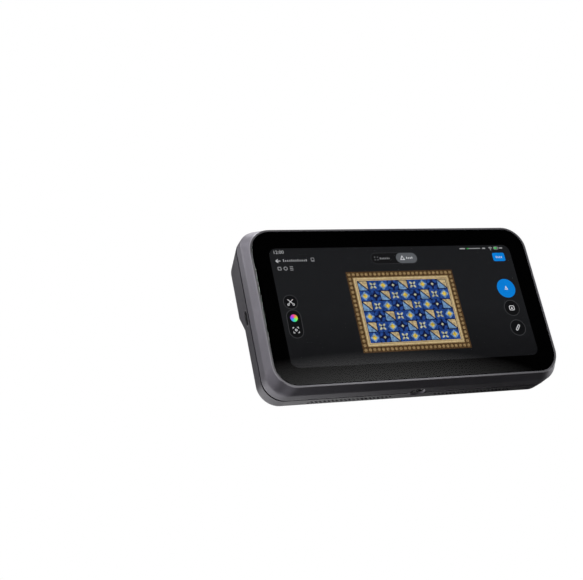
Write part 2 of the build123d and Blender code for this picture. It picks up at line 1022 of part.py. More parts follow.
with BuildPart() as memory_chips:
    for step in range(chip_count):
        chip_right = chips_right - step * chip_pitch
        block(
            (chip_right - chip_width, board_back, processor_height - chip_height / 2),
            (chip_right, board_back + chip_thickness, processor_height + chip_height / 2),
        )
write(memory_chips, "memory_chips")

# Cooling: pad, copper spreader, fins, and a blower that turns on a fixed shaft
with BuildPart() as thermal_pad:
    half = processor_size / 2 - pad_margin
    block(
        (processor_side - half, processor_back, processor_height - half),
        (processor_side + half, spreader_front, processor_height + half),
    )
write(thermal_pad, "thermal_pad")

with BuildPart() as heat_spreader:
    block(
        (fan_side - spreader_left_reach, spreader_front, spreader_low),
        (
            fan_side + spreader_right_reach,
            spreader_back,
            processor_height + processor_size / 2,
        ),
    )
    posts([(fan_side, fan_height_place)], shaft_radius, spreader_front, spreader_back, Mode.SUBTRACT)
write(heat_spreader, "heat_spreader")

with BuildPart() as fin_stack:
    fin_left = fan_side - fan_outer_radius
    fin_spacing = (2 * fan_outer_radius - fin_thickness) / (fin_count - 1)
    block(
        (fin_left, spreader_back, spreader_low),
        (fan_side + fan_outer_radius, fan_floor, fin_high),
    )
    for step in range(fin_count):
        block(
            (fin_left + step * fin_spacing, spreader_back, spreader_low),
            (fin_left + step * fin_spacing + fin_thickness, fan_back, fin_high),
        )
write(fin_stack, "fin_stack")

with BuildPart() as fan_housing:
    extrude(fan_outline(spreader_back, fan_outer_radius, fan_low), amount=spreader_back - fan_back)
    extrude(
        fan_outline(fan_floor, fan_inner_radius, fan_low - overrun),
        amount=spreader_back - fan_back,
        mode=Mode.SUBTRACT,
    )
    posts([(fan_side, fan_height_place)], shaft_radius, spreader_back, fan_floor, Mode.SUBTRACT)
write(fan_housing, "fan_housing")

with BuildPart() as fan_cover:
    extrude(fan_outline(fan_back, fan_outer_radius, fan_low), amount=-fan_cover_thickness)
    posts(
        [(fan_side, fan_height_place)],
        fan_inner_radius * fan_inlet_share,
        fan_back,
        fan_back + fan_cover_thickness,
        Mode.SUBTRACT,
    )
write(fan_cover, "fan_cover")

rotor_front = fan_floor + rotor_gap
rotor_back = fan_back - rotor_gap

with BuildPart() as fan_shaft:
    posts([(fan_side, fan_height_place)], shaft_radius, spreader_front, rotor_back)
write(fan_shaft, "fan_shaft")

with BuildPart() as fan_rotor:
    posts([(fan_side, fan_height_place)], hub_radius, rotor_front, rotor_back)
    with BuildSketch(layer(rotor_front)) as blades:
        with Locations((fan_side, fan_height_place)):
            with PolarLocations(hub_radius, blade_count):
                blade_length = fan_inner_radius - rotor_gap - hub_radius
                Rectangle(
                    2 * blade_length,
                    blade_thickness,
                    rotation=blade_lean,
                )
        with Locations((fan_side, fan_height_place)):
            Circle(fan_inner_radius - rotor_gap, mode=Mode.INTERSECT)
    extrude(blades.sketch, amount=rotor_front - rotor_back)
    posts(
        [(fan_side, fan_height_place)],
        shaft_radius + shaft_gap,
        rotor_front - overrun,
        rotor_back + overrun,
        Mode.SUBTRACT,
    )
write(fan_rotor, "fan_rotor")

# Battery in its tray, with its lead to the board
with BuildPart() as battery_tray:
    block(
        (-battery_outer, plate_back, battery_low - fit_gap - tray_wall),
        (
            -battery_inner,
            plate_back + tray_base + tray_rim,
            battery_high,
        ),
    )
    block(
        (-battery_outer + tray_wall, plate_back + tray_base, battery_low - fit_gap),
        (-battery_inner - tray_wall, plate_back + tray_base + tray_rim, battery_high),
        Mode.SUBTRACT,
    )
write(battery_tray, "battery_tray")

with BuildPart() as battery_pack:
    battery_left = -battery_outer + tray_wall + fit_gap
    battery_right = -battery_inner - tray_wall - fit_gap
    rounded_slab(
        battery_right - battery_left,
        battery_high - battery_low,
        battery_corner,
        ((battery_left + battery_right) / 2, (battery_low + battery_high) / 2),
        battery_front,
        battery_back,
    )
write(battery_pack, "battery_pack")

with BuildPart() as battery_lead:
    block(
        (lead_side - lead_width / 2, board_back, battery_high),
        (lead_side + lead_width / 2, board_back + lead_thickness, zone_height + lead_reach),
    )
write(battery_lead, "battery_lead")

# Socket on the left side, on its own small board
with BuildPart() as usb_board:
    usb_inner_edge = lip_thickness + fit_gap - cavity_width / 2
    block(
        (usb_inner_edge, bench_back, usb_height - usb_board_height / 2),
        (
            usb_inner_edge + usb_board_length,
            bench_back + usb_board_thickness,
            usb_height + usb_board_height / 2,
        ),
    )
write(usb_board, "usb_board")

with BuildPart() as usb_socket:
    pill(-usb_mouth, usb_reach - usb_mouth, usb_depth, usb_height, usb_length, usb_width)
    pill(
        -usb_mouth - overrun,
        usb_reach - usb_mouth - usb_floor,
        usb_depth,
        usb_height,
        usb_inner_length,
        usb_inner_width,
        Mode.SUBTRACT,
    )
    block(
        (
            usb_reach - usb_mouth - usb_floor - usb_tongue_reach,
            usb_depth - usb_tongue_width / 2,
            usb_height - usb_tongue_length / 2,
        ),
        (
            usb_reach - usb_mouth - usb_floor,
            usb_depth + usb_tongue_width / 2,
            usb_height + usb_tongue_length / 2,
        ),
    )
write(usb_socket, "usb_socket")

# Tripod insert in the lower side
with BuildPart() as tripod_insert:
    stud(tripod_depth, insert_radius - screw_gap, insert_recess, insert_length)
    stud(tripod_depth, tripod_radius, insert_recess, insert_length, Mode.SUBTRACT)
write(tripod_insert, "tripod_insert")


def write_key(name, height, ribs):
    """Side key: a pill in its slot, a flange behind the wall and a nub towards its switch."""
    face = body_width / 2 - key_recess
    cap = face - rib_height if ribs else face
    with BuildPart() as key:
        pill(key_inner, cap, key_depth, height, key_length, key_width)
        pill(
            key_inner - key_flange_thickness,
            key_inner,
            key_depth,
            height,
            key_length + 2 * key_flange,
            key_width + 2 * key_flange,
        )
        with BuildSketch(Plane.YZ.offset(key_nub_tip)) as nub:
            with Locations((key_depth - body_depth / 2, height)):
                Circle(key_nub_radius)
        extrude(nub.sketch, amount=key_nub_length)
        for step in range(ribs):
            rib_place = height + (step - (ribs - 1) / 2) * (key_length - key_width) / ribs
            block(
                (key_inner, key_depth - key_width / 2 + rib_height, rib_place - rib_width / 2),
                (face, key_depth + key_width / 2 - rib_height, rib_place + rib_width / 2),
            )
    write(key, name)


# Two side keys, their switches and the board behind them
write_key("power_key", power_height, 0)
write_key("scan_key", scan_height, rib_count)

with BuildPart() as key_switches:
    for key_height in (power_height, scan_height):
        block(
            (key_board_face, key_depth - switch_size / 2, key_height - switch_size / 2),
            (switch_face, key_depth + switch_size / 2, key_height + switch_size / 2),
        )
write(key_switches, "key_switches")

with BuildPart() as key_board:
    block(
        (
            key_board_face - key_board_thickness,
            plate_back,
            scan_height - key_length / 2 - key_board_margin,
        ),
        (key_board_face, plate_back + key_board_width, power_height + key_length / 2 + key_board_margin),
    )
write(key_board, "key_board")

# Speaker
with BuildPart() as speaker:
    speaker_height = zone_height - speaker_top_gap - speaker_low
    rounded_slab(
        speaker_width,
        speaker_height,
        speaker_corner,
        (speaker_left + speaker_width / 2, speaker_low + speaker_height / 2),
        plate_back,
        plate_back + speaker_thickness,
    )
write(speaker, "speaker")

# Flat cables between the panel, the board and the bench
with BuildPart() as display_flex:
    block(
        (
            display_flex_side - flex_width / 2,
            border_back + panel_thickness,
            body_height - display_flex_drop,
        ),
        (
            display_flex_side + flex_width / 2,
            board_front,
            body_height - display_flex_drop + flex_thickness,
        ),
    )
write(display_flex, "display_flex")

with BuildPart() as camera_flex:
    block(
        (camera_flex_side - flex_width / 2, board_back, body_height - camera_flex_drop),
        (
            camera_flex_side + flex_width / 2,
            bench_front,
            body_height - camera_flex_drop + flex_thickness,
        ),
    )
write(camera_flex, "camera_flex")

# Short screws that hold the plate to the frame, the board and the bench to their posts
with BuildPart() as short_screws:
    screws(frame_screw_points, plate_back, plate_back + screw_head_height, ledge_back - screw_bite)
    screws(board_post_points, board_back, board_back + screw_head_height, board_front - screw_bite)
    screws(standoff_points, bench_back, bench_back + screw_head_height, bench_front - screw_bite)
write(short_screws, "short_screws")

# Long screws that hold the housing to the plate
with BuildPart() as housing_screws:
    screws(
        boss_points,
        ledge_back + fit_gap,
        ledge_back + fit_gap + screw_head_height,
        plate_back + long_screw_bite,
    )
write(housing_screws, "housing_screws")
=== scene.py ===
import math

import bmesh
import bpy
from bpy.props import FloatProperty, FloatVectorProperty, IntProperty, PointerProperty
from mathutils import Matrix, Quaternion, Vector


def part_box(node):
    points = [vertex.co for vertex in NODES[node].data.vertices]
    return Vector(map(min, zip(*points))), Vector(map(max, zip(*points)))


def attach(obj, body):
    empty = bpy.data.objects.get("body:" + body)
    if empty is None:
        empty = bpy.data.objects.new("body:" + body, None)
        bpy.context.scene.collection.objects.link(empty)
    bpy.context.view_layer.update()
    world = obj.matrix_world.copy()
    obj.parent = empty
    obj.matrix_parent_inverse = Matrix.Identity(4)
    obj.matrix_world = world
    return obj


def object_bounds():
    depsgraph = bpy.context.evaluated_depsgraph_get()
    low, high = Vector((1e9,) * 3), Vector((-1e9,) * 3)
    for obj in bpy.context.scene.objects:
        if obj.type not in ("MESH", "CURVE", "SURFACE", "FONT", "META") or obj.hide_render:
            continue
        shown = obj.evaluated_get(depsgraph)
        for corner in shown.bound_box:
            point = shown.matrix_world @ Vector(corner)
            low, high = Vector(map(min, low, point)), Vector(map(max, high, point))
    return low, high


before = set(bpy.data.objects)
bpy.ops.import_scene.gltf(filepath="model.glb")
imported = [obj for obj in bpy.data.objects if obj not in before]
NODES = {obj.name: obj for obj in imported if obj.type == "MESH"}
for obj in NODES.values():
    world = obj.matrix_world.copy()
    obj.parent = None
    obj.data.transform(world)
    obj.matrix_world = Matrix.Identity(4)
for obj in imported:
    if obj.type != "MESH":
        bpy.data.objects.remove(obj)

bl_info = {
    "name": "Handheld scanner finish",
    "version": (1, 0, 0),
    "blender": (4, 5, 0),
    "location": "View3D > Sidebar > Scanner",
    "description": "Finishes, screen content, small details and studio of a handheld three-d scanner",
    "category": "Object",
}

CAD_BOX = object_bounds()
MAIN_BODY = "body"

# Whole span and middle of the part
SPAN = max(CAD_BOX[1] - CAD_BOX[0])
CENTRE = (CAD_BOX[0] + CAD_BOX[1]) / 2

# Cover glass, front of the display panel, and the optics behind the window
GLASS_LOW, GLASS_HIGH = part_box("screen_glass")
PANEL_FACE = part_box("display_panel")[0].y
LAMP_NODES = ("left_infrared_lamps", "right_infrared_lamps")
LENS_NODES = (
    "left_stereo_lens",
    "right_stereo_lens",
    "left_wide_lens",
    "right_wide_lens",
    "texture_lens",
)
CAMERA_NODES = [name.replace("lens", "camera") for name in LENS_NODES]

WHITE = (1.0, 1.0, 1.0)
QUARTER_TURN = math.pi / 2
FACING_WINDOW = (QUARTER_TURN, 0, 0)
CORNERS = [(side, rise) for side in (-1, 1) for rise in (-1, 1)]

# Places along a pattern, from 0 to 1, where its colours stand
SPECK_STOPS = (0.3, 0.46, 0.56, 0.74)
CLOUD_STOPS = (0.35, 0.65)
GRAIN_STOPS = (0.3, 0.7)
GROUND_STOPS = (0.1, 0.45)

# Brushed metal: its grain is finer through the part's depth, so it shows as lines
FINE_LINES = (1, 12, 1)

# Steps round a corner or a line's end, a large round, a switch's end, a small ring, a hole and a dot
CORNER_STEPS = 8
ROUND_STEPS = 48
SWITCH_STEPS = 24
SMALL_STEPS = 24
HOLE_STEPS = 20
DOT_STEPS = 16

# Places on the screen, as shares of the cover glass from its left and from its top
SPOTS = {
    "clock": (0.072, 0.147),
    "arrow": (0.0765, 0.195),
    "title": (0.103, 0.1935),
    "pen": (0.203, 0.188),
    "box_mark": (0.084, 0.246),
    "round_mark": (0.1045, 0.246),
    "signal": (0.8685, 0.1435),
    "charge": (0.89, 0.1325),
    "charge_level": (0.8885, 0.1325),
    "switch_left": (0.411, 0.191),
    "switch_split": (0.501, 0.191),
    "switch_right": (0.579, 0.191),
    "points_icon": (0.4295, 0.191),
    "points_ticks": (0.444, 0.191),
    "mesh_icon": (0.5245, 0.191),
    "mesh_ticks": (0.541, 0.191),
    "cutter": (0.0978, 0.468),
    "wheel": (0.0984, 0.5726),
    "frame_mark": (0.0975, 0.65),
    "shield": (0.8875, 0.561),
    "pill": (0.89, 0.698),
    "start": (0.887, 0.422),
    "save_low": (0.869, 0.227),
    "save_high": (0.916, 0.167),
    "picture_low": (0.308, 0.818),
    "picture_high": (0.697, 0.28),
}

# Level lines on the screen in the same shares: left end, right end, down
RUNS = {
    "pen_line": (0.1985, 0.2085, 0.2005),
    "list_upper": (0.1205, 0.1295, 0.235),
    "list_middle": (0.1205, 0.1295, 0.246),
    "list_lower": (0.1205, 0.1295, 0.257),
    "memory_mark": (0.751, 0.768, 0.1325),
    "memory_track": (0.778, 0.828, 0.1325),
    "memory_filled": (0.778, 0.783, 0.1325),
    "memory_amount": (0.8385, 0.847, 0.1325),
    "charge_amount": (0.904, 0.914, 0.1325),
}

# Lines of the icons, in line widths from their middle
ARROW_HEAD = ((3, 2.6), (0, 0), (3, -2.6))
ARROW_SHAFT = ((0, 0), (6.4, 0))
MESH_ICON = ((0, 3.4), (-3.1, -2.6), (3.1, -2.6), (0, 3.4))
START_CONE = ((-2.2, -1.9), (0, 3.2), (2.2, -1.9), (-2.2, -1.9))
START_FOLD = ((0, 3.2), (0.4, -1.9))
PILL_LEAN = (2.2, 2.9)

# Blades of the cutter, in reaches of its icon from its middle
CUTTER_BLADES = (((0.75, -0.6), (-1, 1)), ((-0.75, -0.6), (1, 1)))

# Heights of the ticks on the screen, in line widths
TITLE_TICKS = (3, 1.6, 1.8, 1.6, 2.6, 1.6, 1.8, 3, 1.6, 1.8, 1.6, 2.4)
POINTS_TICKS = (2.6, 1.6, 2.2, 1.6, 2.6, 1.6)
MESH_TICKS = (2.6, 1.6, 1.8, 2.6)
SAVE_TICKS = (2.4, 1.6, 1.8, 1.6)

# Colours of the screen's materials, by the properties that hold them
SCREEN_TONES = {
    "white": "white",
    "soft": "soft",
    "pale": "pale",
    "switch": "switch_dark",
    "switch_rim": "key_edge",
    "switch_chosen": "switch_light",
    "green": "green",
}

# Lamps: place and width in spans of the part from its middle, power in watts
LAMPS = (
    ("key_lamp", (-4.6, -1.6, 3.2), 3.2, 7.0),
    ("top_lamp", (0.6, 0.4, 5.2), 4.0, 6.0),
    ("rear_lamp", (2.8, 4.6, 2.4), 3.0, 12.0),
    ("side_lamp", (-1.85, 1.56, 1.52), 1.0, 0.2),
    ("edge_lamp", (3.6, -3.0, -0.9), 1.4, 1.0),
)

# Glows on the cards: what mirrors them, place and reach in metres, strength
GLOWS = {
    "front": ("the glass at its lower edge", (0.32, -0.69, 0.232), (0.24, 0.1, 0.056), 1.25),
    "rear": ("the lower side at its left", (-0.32, 0.69, -0.28), (0.7, 0.3, 0.42), 2.3),
    "edge": ("the lower rear edge", (0.34, 0.69, 0.2), (0.24, 0.3, 0.25), 1.5),
    "low": ("the lower bevel at its left", (-0.15, 0.25, -0.334), (0.25, 0.4, 0.3), 1.5),
    "grip": ("the grip", (0.0, 0.69, 0.04), (0.55, 0.3, 0.2), 5.0),
    "under": ("the lower side seen from behind", (-0.2, -0.69, -0.2), (0.32, 0.3, 0.2), 1.0),
}

# Cards: place and width in spans of the part from its middle, turn about X, glows on them
CARDS = (
    ("front_card", (0.9, -4.0, 0.6), 12.0, QUARTER_TURN, ("front", "under")),
    ("rear_card", (0.6, 4.0, 0.6), 7.0, QUARTER_TURN, ("rear", "edge", "grip")),
    ("low_card", (1.0, 0.0, -2.2), 7.0, 0.0, ("rear", "low")),
)

# Floor: radius in spans of the part, and its sides
FLOOR_REACH = 5.5
FLOOR_SIDES = 96


def colour_prop(name, description, default):
    """Colour property in linear light."""
    return FloatVectorProperty(
        name=name, description=description, default=default, subtype="COLOR", min=0, max=1
    )


def length_prop(name, description, default):
    """Length property in metres."""
    return FloatProperty(name=name, description=description, default=default, unit="LENGTH", precision=6)


def share_prop(name, description, default):
    """Share of a whole, from 0 to 1."""
    return FloatProperty(
        name=name, description=description, default=default, subtype="FACTOR", min=0, max=1
    )


def place_prop(name, description, default):
    """Point, reach or size in metres."""
    return FloatVectorProperty(
        name=name, description=description, default=default, size=3, unit="LENGTH", precision=6
    )


def count_prop(name, description, default):
    """Number of like things."""
    return IntProperty(name=name, description=description, default=default, min=1)


def gain_prop(name, description, default):
    """Strength of a glow."""
    return FloatProperty(name=name, description=description, default=default, min=0)


class BodyFinish(bpy.types.PropertyGroup):
    """Finish of the frame, the housing and the keys."""

    grey: colour_prop("Body grey", "Anodised grey of the frame and the housing", (0.125, 0.118, 0.138))
    dark_speck: colour_prop("Dark speck", "Darkest grain of the anodised finish", (0.088, 0.083, 0.098))
    light_speck: colour_prop("Light speck", "Lightest grain of the anodised finish", (0.175, 0.166, 0.19))
    # Lighter colour of the polished rim: a painted highlight along the edge round the screen
    rim: colour_prop("Polished rim", "Bright edge round the screen", (0.42, 0.41, 0.44))
    speckle: length_prop("Speckle size", "Size of one grain of the finish", 0.00022)
    rim_highlight_depth: length_prop("Rim depth", "How far the polished edge reaches back from the screen face", 0.0003)
    # Housing tone darkens the same anodised metal as the frame: painted shade on the housing's sides
    housing: share_prop("Housing tone", "Tone of the housing, as a share of the frame's", 0.5)
    metal: share_prop("Metal share", "How metallic the anodised finish is", 0.72)
    roughness: share_prop("Roughness", "Roughness of the anodised finish", 0.4)


class ScreenLayout(bpy.types.PropertyGroup):
    """Sizes and colours of what the screen shows."""

    border: length_prop("Black border", "Width of the black border of the cover glass", 0.00965)
    lit_corner: length_prop("Lit corner", "Corner radius of the lit area", 0.0024)
    sheet: length_prop("Sheet thickness", "Thickness of one layer of the shown picture", 0.000016)
    sheet_gap: length_prop("Sheet gap", "Room between two layers of the shown picture", 0.000004)
    line: length_prop("Line width", "Width of an icon's line", 0.00038)
    key_radius: length_prop("Key radius", "Radius of a round key on the screen", 0.0048)
    tool_radius: length_prop("Tool radius", "Radius of a round tool on the screen", 0.0041)
    night: colour_prop("Background", "Dark grey behind the shown content", (0.0108, 0.0113, 0.0125))
    night_low: colour_prop("Lower background", "Background at the lower edge", (0.0052, 0.0053, 0.006))
    key_dark: colour_prop("Dark key", "Face of a dark round key", (0.0062, 0.0065, 0.0072))
    key_edge: colour_prop("Key edge", "Thin edge of a dark key", (0.05, 0.051, 0.054))
    white: colour_prop("White", "Icons and marks", (0.72, 0.73, 0.75))
    soft: colour_prop("Soft white", "Small ticks and numbers", (0.4, 0.405, 0.415))
    pale: colour_prop("Pale grey", "Lesser marks", (0.3, 0.305, 0.315))
    blue: colour_prop("Blue", "Main keys", (0.003, 0.215, 0.7))
    switch_dark: colour_prop("Switch", "Resting half of the mode switch", (0.0085, 0.0088, 0.0095))
    switch_light: colour_prop("Chosen half", "Chosen half of the mode switch", (0.105, 0.112, 0.122))
    green: colour_prop("Green", "Charge and progress", (0.05, 0.55, 0.1))


class PictureDesign(bpy.types.PropertyGroup):
    """Framed tile design that the screen shows as a scanned object."""

    columns: count_prop("Columns", "Tiles across", 9)
    rows: count_prop("Rows", "Tiles down", 6)
    carved: length_prop("Carved band", "Width of the carved outer band", 0.0033)
    moulding: length_prop("Moulding", "Width of the plain gilt moulding", 0.0021)
    bead: length_prop("Bead pitch", "Distance between two carved beads", 0.0026)
    gilt: colour_prop("Gilt", "Plain gilt moulding", (0.62, 0.48, 0.26))
    gilt_dark: colour_prop("Dark gilt", "Ground of the carved band", (0.1, 0.056, 0.025))
    gilt_pale: colour_prop("Pale gilt", "Carved beads", (0.36, 0.24, 0.11))
    navy: colour_prop("Navy", "Darkest tiles", (0.0085, 0.0145, 0.062))
    mid_blue: colour_prop("Blue", "Middle tiles", (0.024, 0.075, 0.31))
    pale_blue: colour_prop("Pale blue", "Lightest blue patches", (0.2, 0.36, 0.6))
    yellow: colour_prop("Yellow", "Small yellow patches", (0.82, 0.58, 0.09))
    cream: colour_prop("Cream", "Petals", (0.6, 0.6, 0.4))


class OpticsDetail(bpy.types.PropertyGroup):
    """Small details behind the camera window, in the socket and in the tripod hole."""

    ring_tube: share_prop("Ring tube", "Thickness of a lens ring, as a share of its radius", 0.06)
    ring_shares: FloatVectorProperty(
        name="Ring radii",
        description="Radii of a lens's rings, as shares of the lens",
        default=(1.22, 0.62),
        size=2,
    )
    die: length_prop("Lamp die", "Radius of the bright die in an infrared lamp", 0.0008)
    lamp_ring: length_prop("Lamp ring", "Radius of the ring in an infrared lamp", 0.0018)
    thread_pitch: length_prop("Thread pitch", "Distance between two turns of the tripod thread", 0.00127)
    thread_height: length_prop("Thread height", "How far the thread stands into the tripod hole", 0.0004)
    contact_pitch: length_prop("Contact pitch", "Distance between two contacts of the socket", 0.0005)
    contact_count: count_prop("Contacts", "Contacts on each face of the tongue", 12)
    contact: place_prop("Contact size", "Length, thickness and width of a contact", (0.003, 0.00006, 0.00028))


class StudioSetup(bpy.types.PropertyGroup):
    """Camera, cards, floor and room light."""

    place: place_prop("Camera place", "Where the camera stands", (-0.31308, -0.5568, -0.19435))
    aim: place_prop("Camera aim", "Point that it looks at", (-0.06556, -0.014, 0.05607))
    roll: FloatProperty(
        name="Camera roll", description="Turn about its own axis", default=-0.20445, unit="ROTATION"
    )
    lens: FloatProperty(name="Lens", description="Focal length in mm", default=76.655)
    sensor: FloatProperty(name="Sensor", description="Width of the camera's sensor in mm", default=36.0)
    floor_drop: length_prop("Floor drop", "Room between the part and the floor", 0.0004)
    floor: colour_prop("Floor", "Pale floor", (0.86, 0.86, 0.87))
    card: share_prop("Card", "Faint light of the dark cards that the gloss sees", 0.006)
    ambient: share_prop("Ambient light", "Strength of the room's even light from above", 0.75)
    ambient_low: share_prop("Ambient light from below", "Strength of the room's even light from below", 0.16)


def glow_props(key, mirror, place, reach, gain):
    """Properties of one glow on the cards."""
    label = f"{key.capitalize()} glow"
    return {
        f"{key}_glow": place_prop(label, f"Glow that shows in {mirror}", place),
        f"{key}_reach": place_prop(f"{label} reach", "How far the glow reaches", reach),
        f"{key}_gain": gain_prop(f"{label} gain", "Strength of the glow", gain),
    }


for glow, values in GLOWS.items():
    StudioSetup.__annotations__.update(glow_props(glow, *values))


def middle_of(node):
    """Middle of a CAD node's box."""
    low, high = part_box(node)
    return (low + high) / 2


def new_node(tree, kind, inputs=None, **settings):
    """Node with its settings, and with its inputs set to a value or linked to a socket."""
    made = tree.nodes.new(kind)
    for key, value in settings.items():
        setattr(made, key, value)
    for key, value in (inputs or {}).items():
        if isinstance(value, bpy.types.NodeSocket):
            tree.links.new(value, made.inputs[key])
        else:
            made.inputs[key].default_value = value
    return made


def opaque(colour):
    """Colour with full alpha."""
    return (*colour, 1.0)


def tinted(colour, factor):
    """Colour made lighter or darker, kept within white."""
    return tuple(min(1.0, part * factor) for part in colour)


def new_material(name):
    """Material with an empty tree."""
    made = bpy.data.materials.new(name)
    made.use_nodes = True
    made.node_tree.nodes.clear()
    return made, made.node_tree


def finished(made, shader):
    """Material whose surface is a shader node."""
    new_node(made.node_tree, "ShaderNodeOutputMaterial", {"Surface": shader.outputs[0]})
    return made


def coated(made, inputs):
    """Material whose surface is one shader with given inputs."""
    return finished(made, new_node(made.node_tree, "ShaderNodeBsdfPrincipled", inputs))


def either(tree, factor, first, second):
    """Two shader nodes mixed by a factor."""
    return new_node(tree, "ShaderNodeMixShader", {0: factor, 1: first.outputs[0], 2: second.outputs[0]})


def blended(tree, factor, first, second, blend_type="MIX"):
    """Two colours mixed by a factor."""
    inputs = {"Fac": factor, "Color1": first, "Color2": second}
    return new_node(tree, "ShaderNodeMixRGB", inputs, blend_type=blend_type).outputs[0]


def computed(tree, operation, *parts):
    """Result of an operation on sockets and numbers."""
    return new_node(tree, "ShaderNodeMath", dict(enumerate(parts)), operation=operation).outputs[0]


def coordinate(tree, axis, source="Object"):
    """Place along an axis, in the piece's own coordinates or those of another output of the node."""
    coords = new_node(tree, "ShaderNodeTexCoord").outputs[source]
    return new_node(tree, "ShaderNodeSeparateXYZ", {0: coords}).outputs[axis]


def object_noise(tree, size, detail=2.0, stretch=(1, 1, 1)):
    """Noise in the piece's own coordinates, with grains of a size in metres."""
    coords = new_node(tree, "ShaderNodeTexCoord").outputs["Object"]
    scaled = new_node(tree, "ShaderNodeMapping", {"Vector": coords, "Scale": stretch}).outputs[0]
    inputs = {"Vector": scaled, "Scale": 1 / size, "Detail": detail}
    return new_node(tree, "ShaderNodeTexNoise", inputs).outputs["Fac"]


def ramp(tree, factor, stops, colours):
    """Colour ramp with colours at stops from 0 to 1."""
    made = new_node(tree, "ShaderNodeValToRGB", {"Fac": factor})
    marks = made.color_ramp.elements
    for index, (place, colour) in enumerate(zip(stops, colours)):
        mark = marks[index] if index < len(marks) else marks.new(place)
        mark.position = place
        mark.color = opaque(colour)
    return made.outputs["Color"]


def spread(tree, factor, low, high, from_low=0.0, from_high=1.0):
    """A factor mapped to a range."""
    inputs = {"Value": factor, "From Min": from_low, "From Max": from_high, "To Min": low, "To Max": high}
    return new_node(tree, "ShaderNodeMapRange", inputs).outputs[0]


def bumped(tree, height, distance, strength):
    """Normal from a height pattern."""
    inputs = {"Height": height, "Distance": distance, "Strength": strength}
    return new_node(tree, "ShaderNodeBump", inputs).outputs[0]


def anodised(name, finish, tone=1.0, rim_face=None):
    """Grey anodised metal with a fine grain, darkened by a tone below one as painted shade, and a polished
    rim from a front face backwards whose lighter colour is a painted edge highlight.
    """
    cloud_grains = 90
    cloud_shade = (0.9, 0.9, 0.9)
    smoother, rougher = 0.05, 0.06
    relief_share, relief_strength = 1 / 12, 0.5
    made, tree = new_material(name)
    grain = object_noise(tree, finish.speckle, detail=1.0)
    cloud = object_noise(tree, finish.speckle * cloud_grains, detail=3.0)
    dark = tinted(finish.dark_speck, tone)
    mid = tinted(finish.grey, tone)
    light = tinted(finish.light_speck, tone)
    specks = ramp(tree, grain, SPECK_STOPS, (dark, mid, mid, light))
    shade = ramp(tree, cloud, CLOUD_STOPS, (cloud_shade, WHITE))
    colour = blended(tree, 1.0, specks, shade, "MULTIPLY")
    roughness = spread(tree, grain, finish.roughness - smoother, finish.roughness + rougher)
    # Polished rim: its roughness is halved, and its lighter colour paints the edge highlight round the screen
    if rim_face is not None:
        depth = coordinate(tree, "Y")
        edge = spread(tree, depth, 1.0, 0.0, rim_face + finish.rim_highlight_depth / 2, rim_face + finish.rim_highlight_depth)
        colour = blended(tree, edge, colour, opaque(finish.rim))
        polish = {0: edge, 2: roughness, 3: finish.roughness / 2}
        roughness = new_node(tree, "ShaderNodeMix", polish).outputs[0]
    return coated(
        made,
        {
            "Base Color": colour,
            "Metallic": finish.metal,
            "Roughness": roughness,
            "Normal": bumped(tree, grain, finish.speckle * relief_share, relief_strength),
        },
    )


def moulded(name, colour, roughness, grain=0.0002, metal=0.0, coat=0.0, gloss=0.5, stretch=(1, 1, 1)):
    """Moulded, cast, printed or machined surface with a fine grain in its colour, gloss and relief."""
    dark, light = 0.82, 1.14
    smoother, rougher = 0.85, 1.15
    coat_roughness = 0.03
    relief_share, relief_strength = 0.1, 0.4
    made, tree = new_material(name)
    noise = object_noise(tree, grain, detail=3.0, stretch=stretch)
    return coated(
        made,
        {
            "Base Color": ramp(tree, noise, GRAIN_STOPS, (tinted(colour, dark), tinted(colour, light))),
            "Metallic": metal,
            "Roughness": spread(tree, noise, roughness * smoother, min(1.0, roughness * rougher)),
            "Specular IOR Level": gloss,
            "Coat Weight": coat,
            "Coat Roughness": coat_roughness,
            "Normal": bumped(tree, noise, grain * relief_share, relief_strength),
        },
    )


def pane(name, tint):
    """Polished glass that lets lamps through, with a faint smear in its gloss."""
    smear, smear_size = 0.012, 0.02
    glass_index = 1.5
    made, tree = new_material(name)
    inputs = {
        "Base Color": opaque(tint),
        "Roughness": spread(tree, object_noise(tree, smear_size), 0.0, smear),
        "IOR": glass_index,
        "Transmission Weight": 1.0,
    }
    glass = new_node(tree, "ShaderNodeBsdfPrincipled", inputs)
    through = new_node(tree, "ShaderNodeBsdfTransparent", {"Color": opaque(tint)})
    shadow = new_node(tree, "ShaderNodeLightPath").outputs["Is Shadow Ray"]
    return finished(made, either(tree, shadow, glass, through))


def glowing(made, base, glow):
    """Material of lit pixels without gloss of their own."""
    return coated(
        made,
        {
            "Base Color": opaque(base),
            "Specular IOR Level": 0.0,
            "Emission Color": glow,
            "Emission Strength": 1.0,
        },
    )


def lit(name, colour, other=None, size=0.004):
    """Lit pixels: a colour that wavers faintly, or that runs into another colour in patches."""
    unlit, waver = 0.05, 0.94
    made, tree = new_material(name)
    noise = object_noise(tree, size)
    glow = ramp(tree, noise, CLOUD_STOPS, (other or tinted(colour, waver), colour))
    return glowing(made, tinted(colour, unlit), glow)


def lit_ground(name, layout):
    """Lit background of the screen, darker towards its lower edge."""
    unlit = 0.3
    waver, waver_size = 0.06, 0.03
    made, tree = new_material(name)
    rise = spread(tree, coordinate(tree, "Z"), 0.0, 1.0, GLASS_LOW.z, GLASS_HIGH.z)
    shift = spread(tree, object_noise(tree, waver_size), -waver, waver)
    glow = ramp(tree, computed(tree, "ADD", rise, shift), GROUND_STOPS, (layout.night_low, layout.night))
    return glowing(made, tinted(layout.night, unlit), glow)


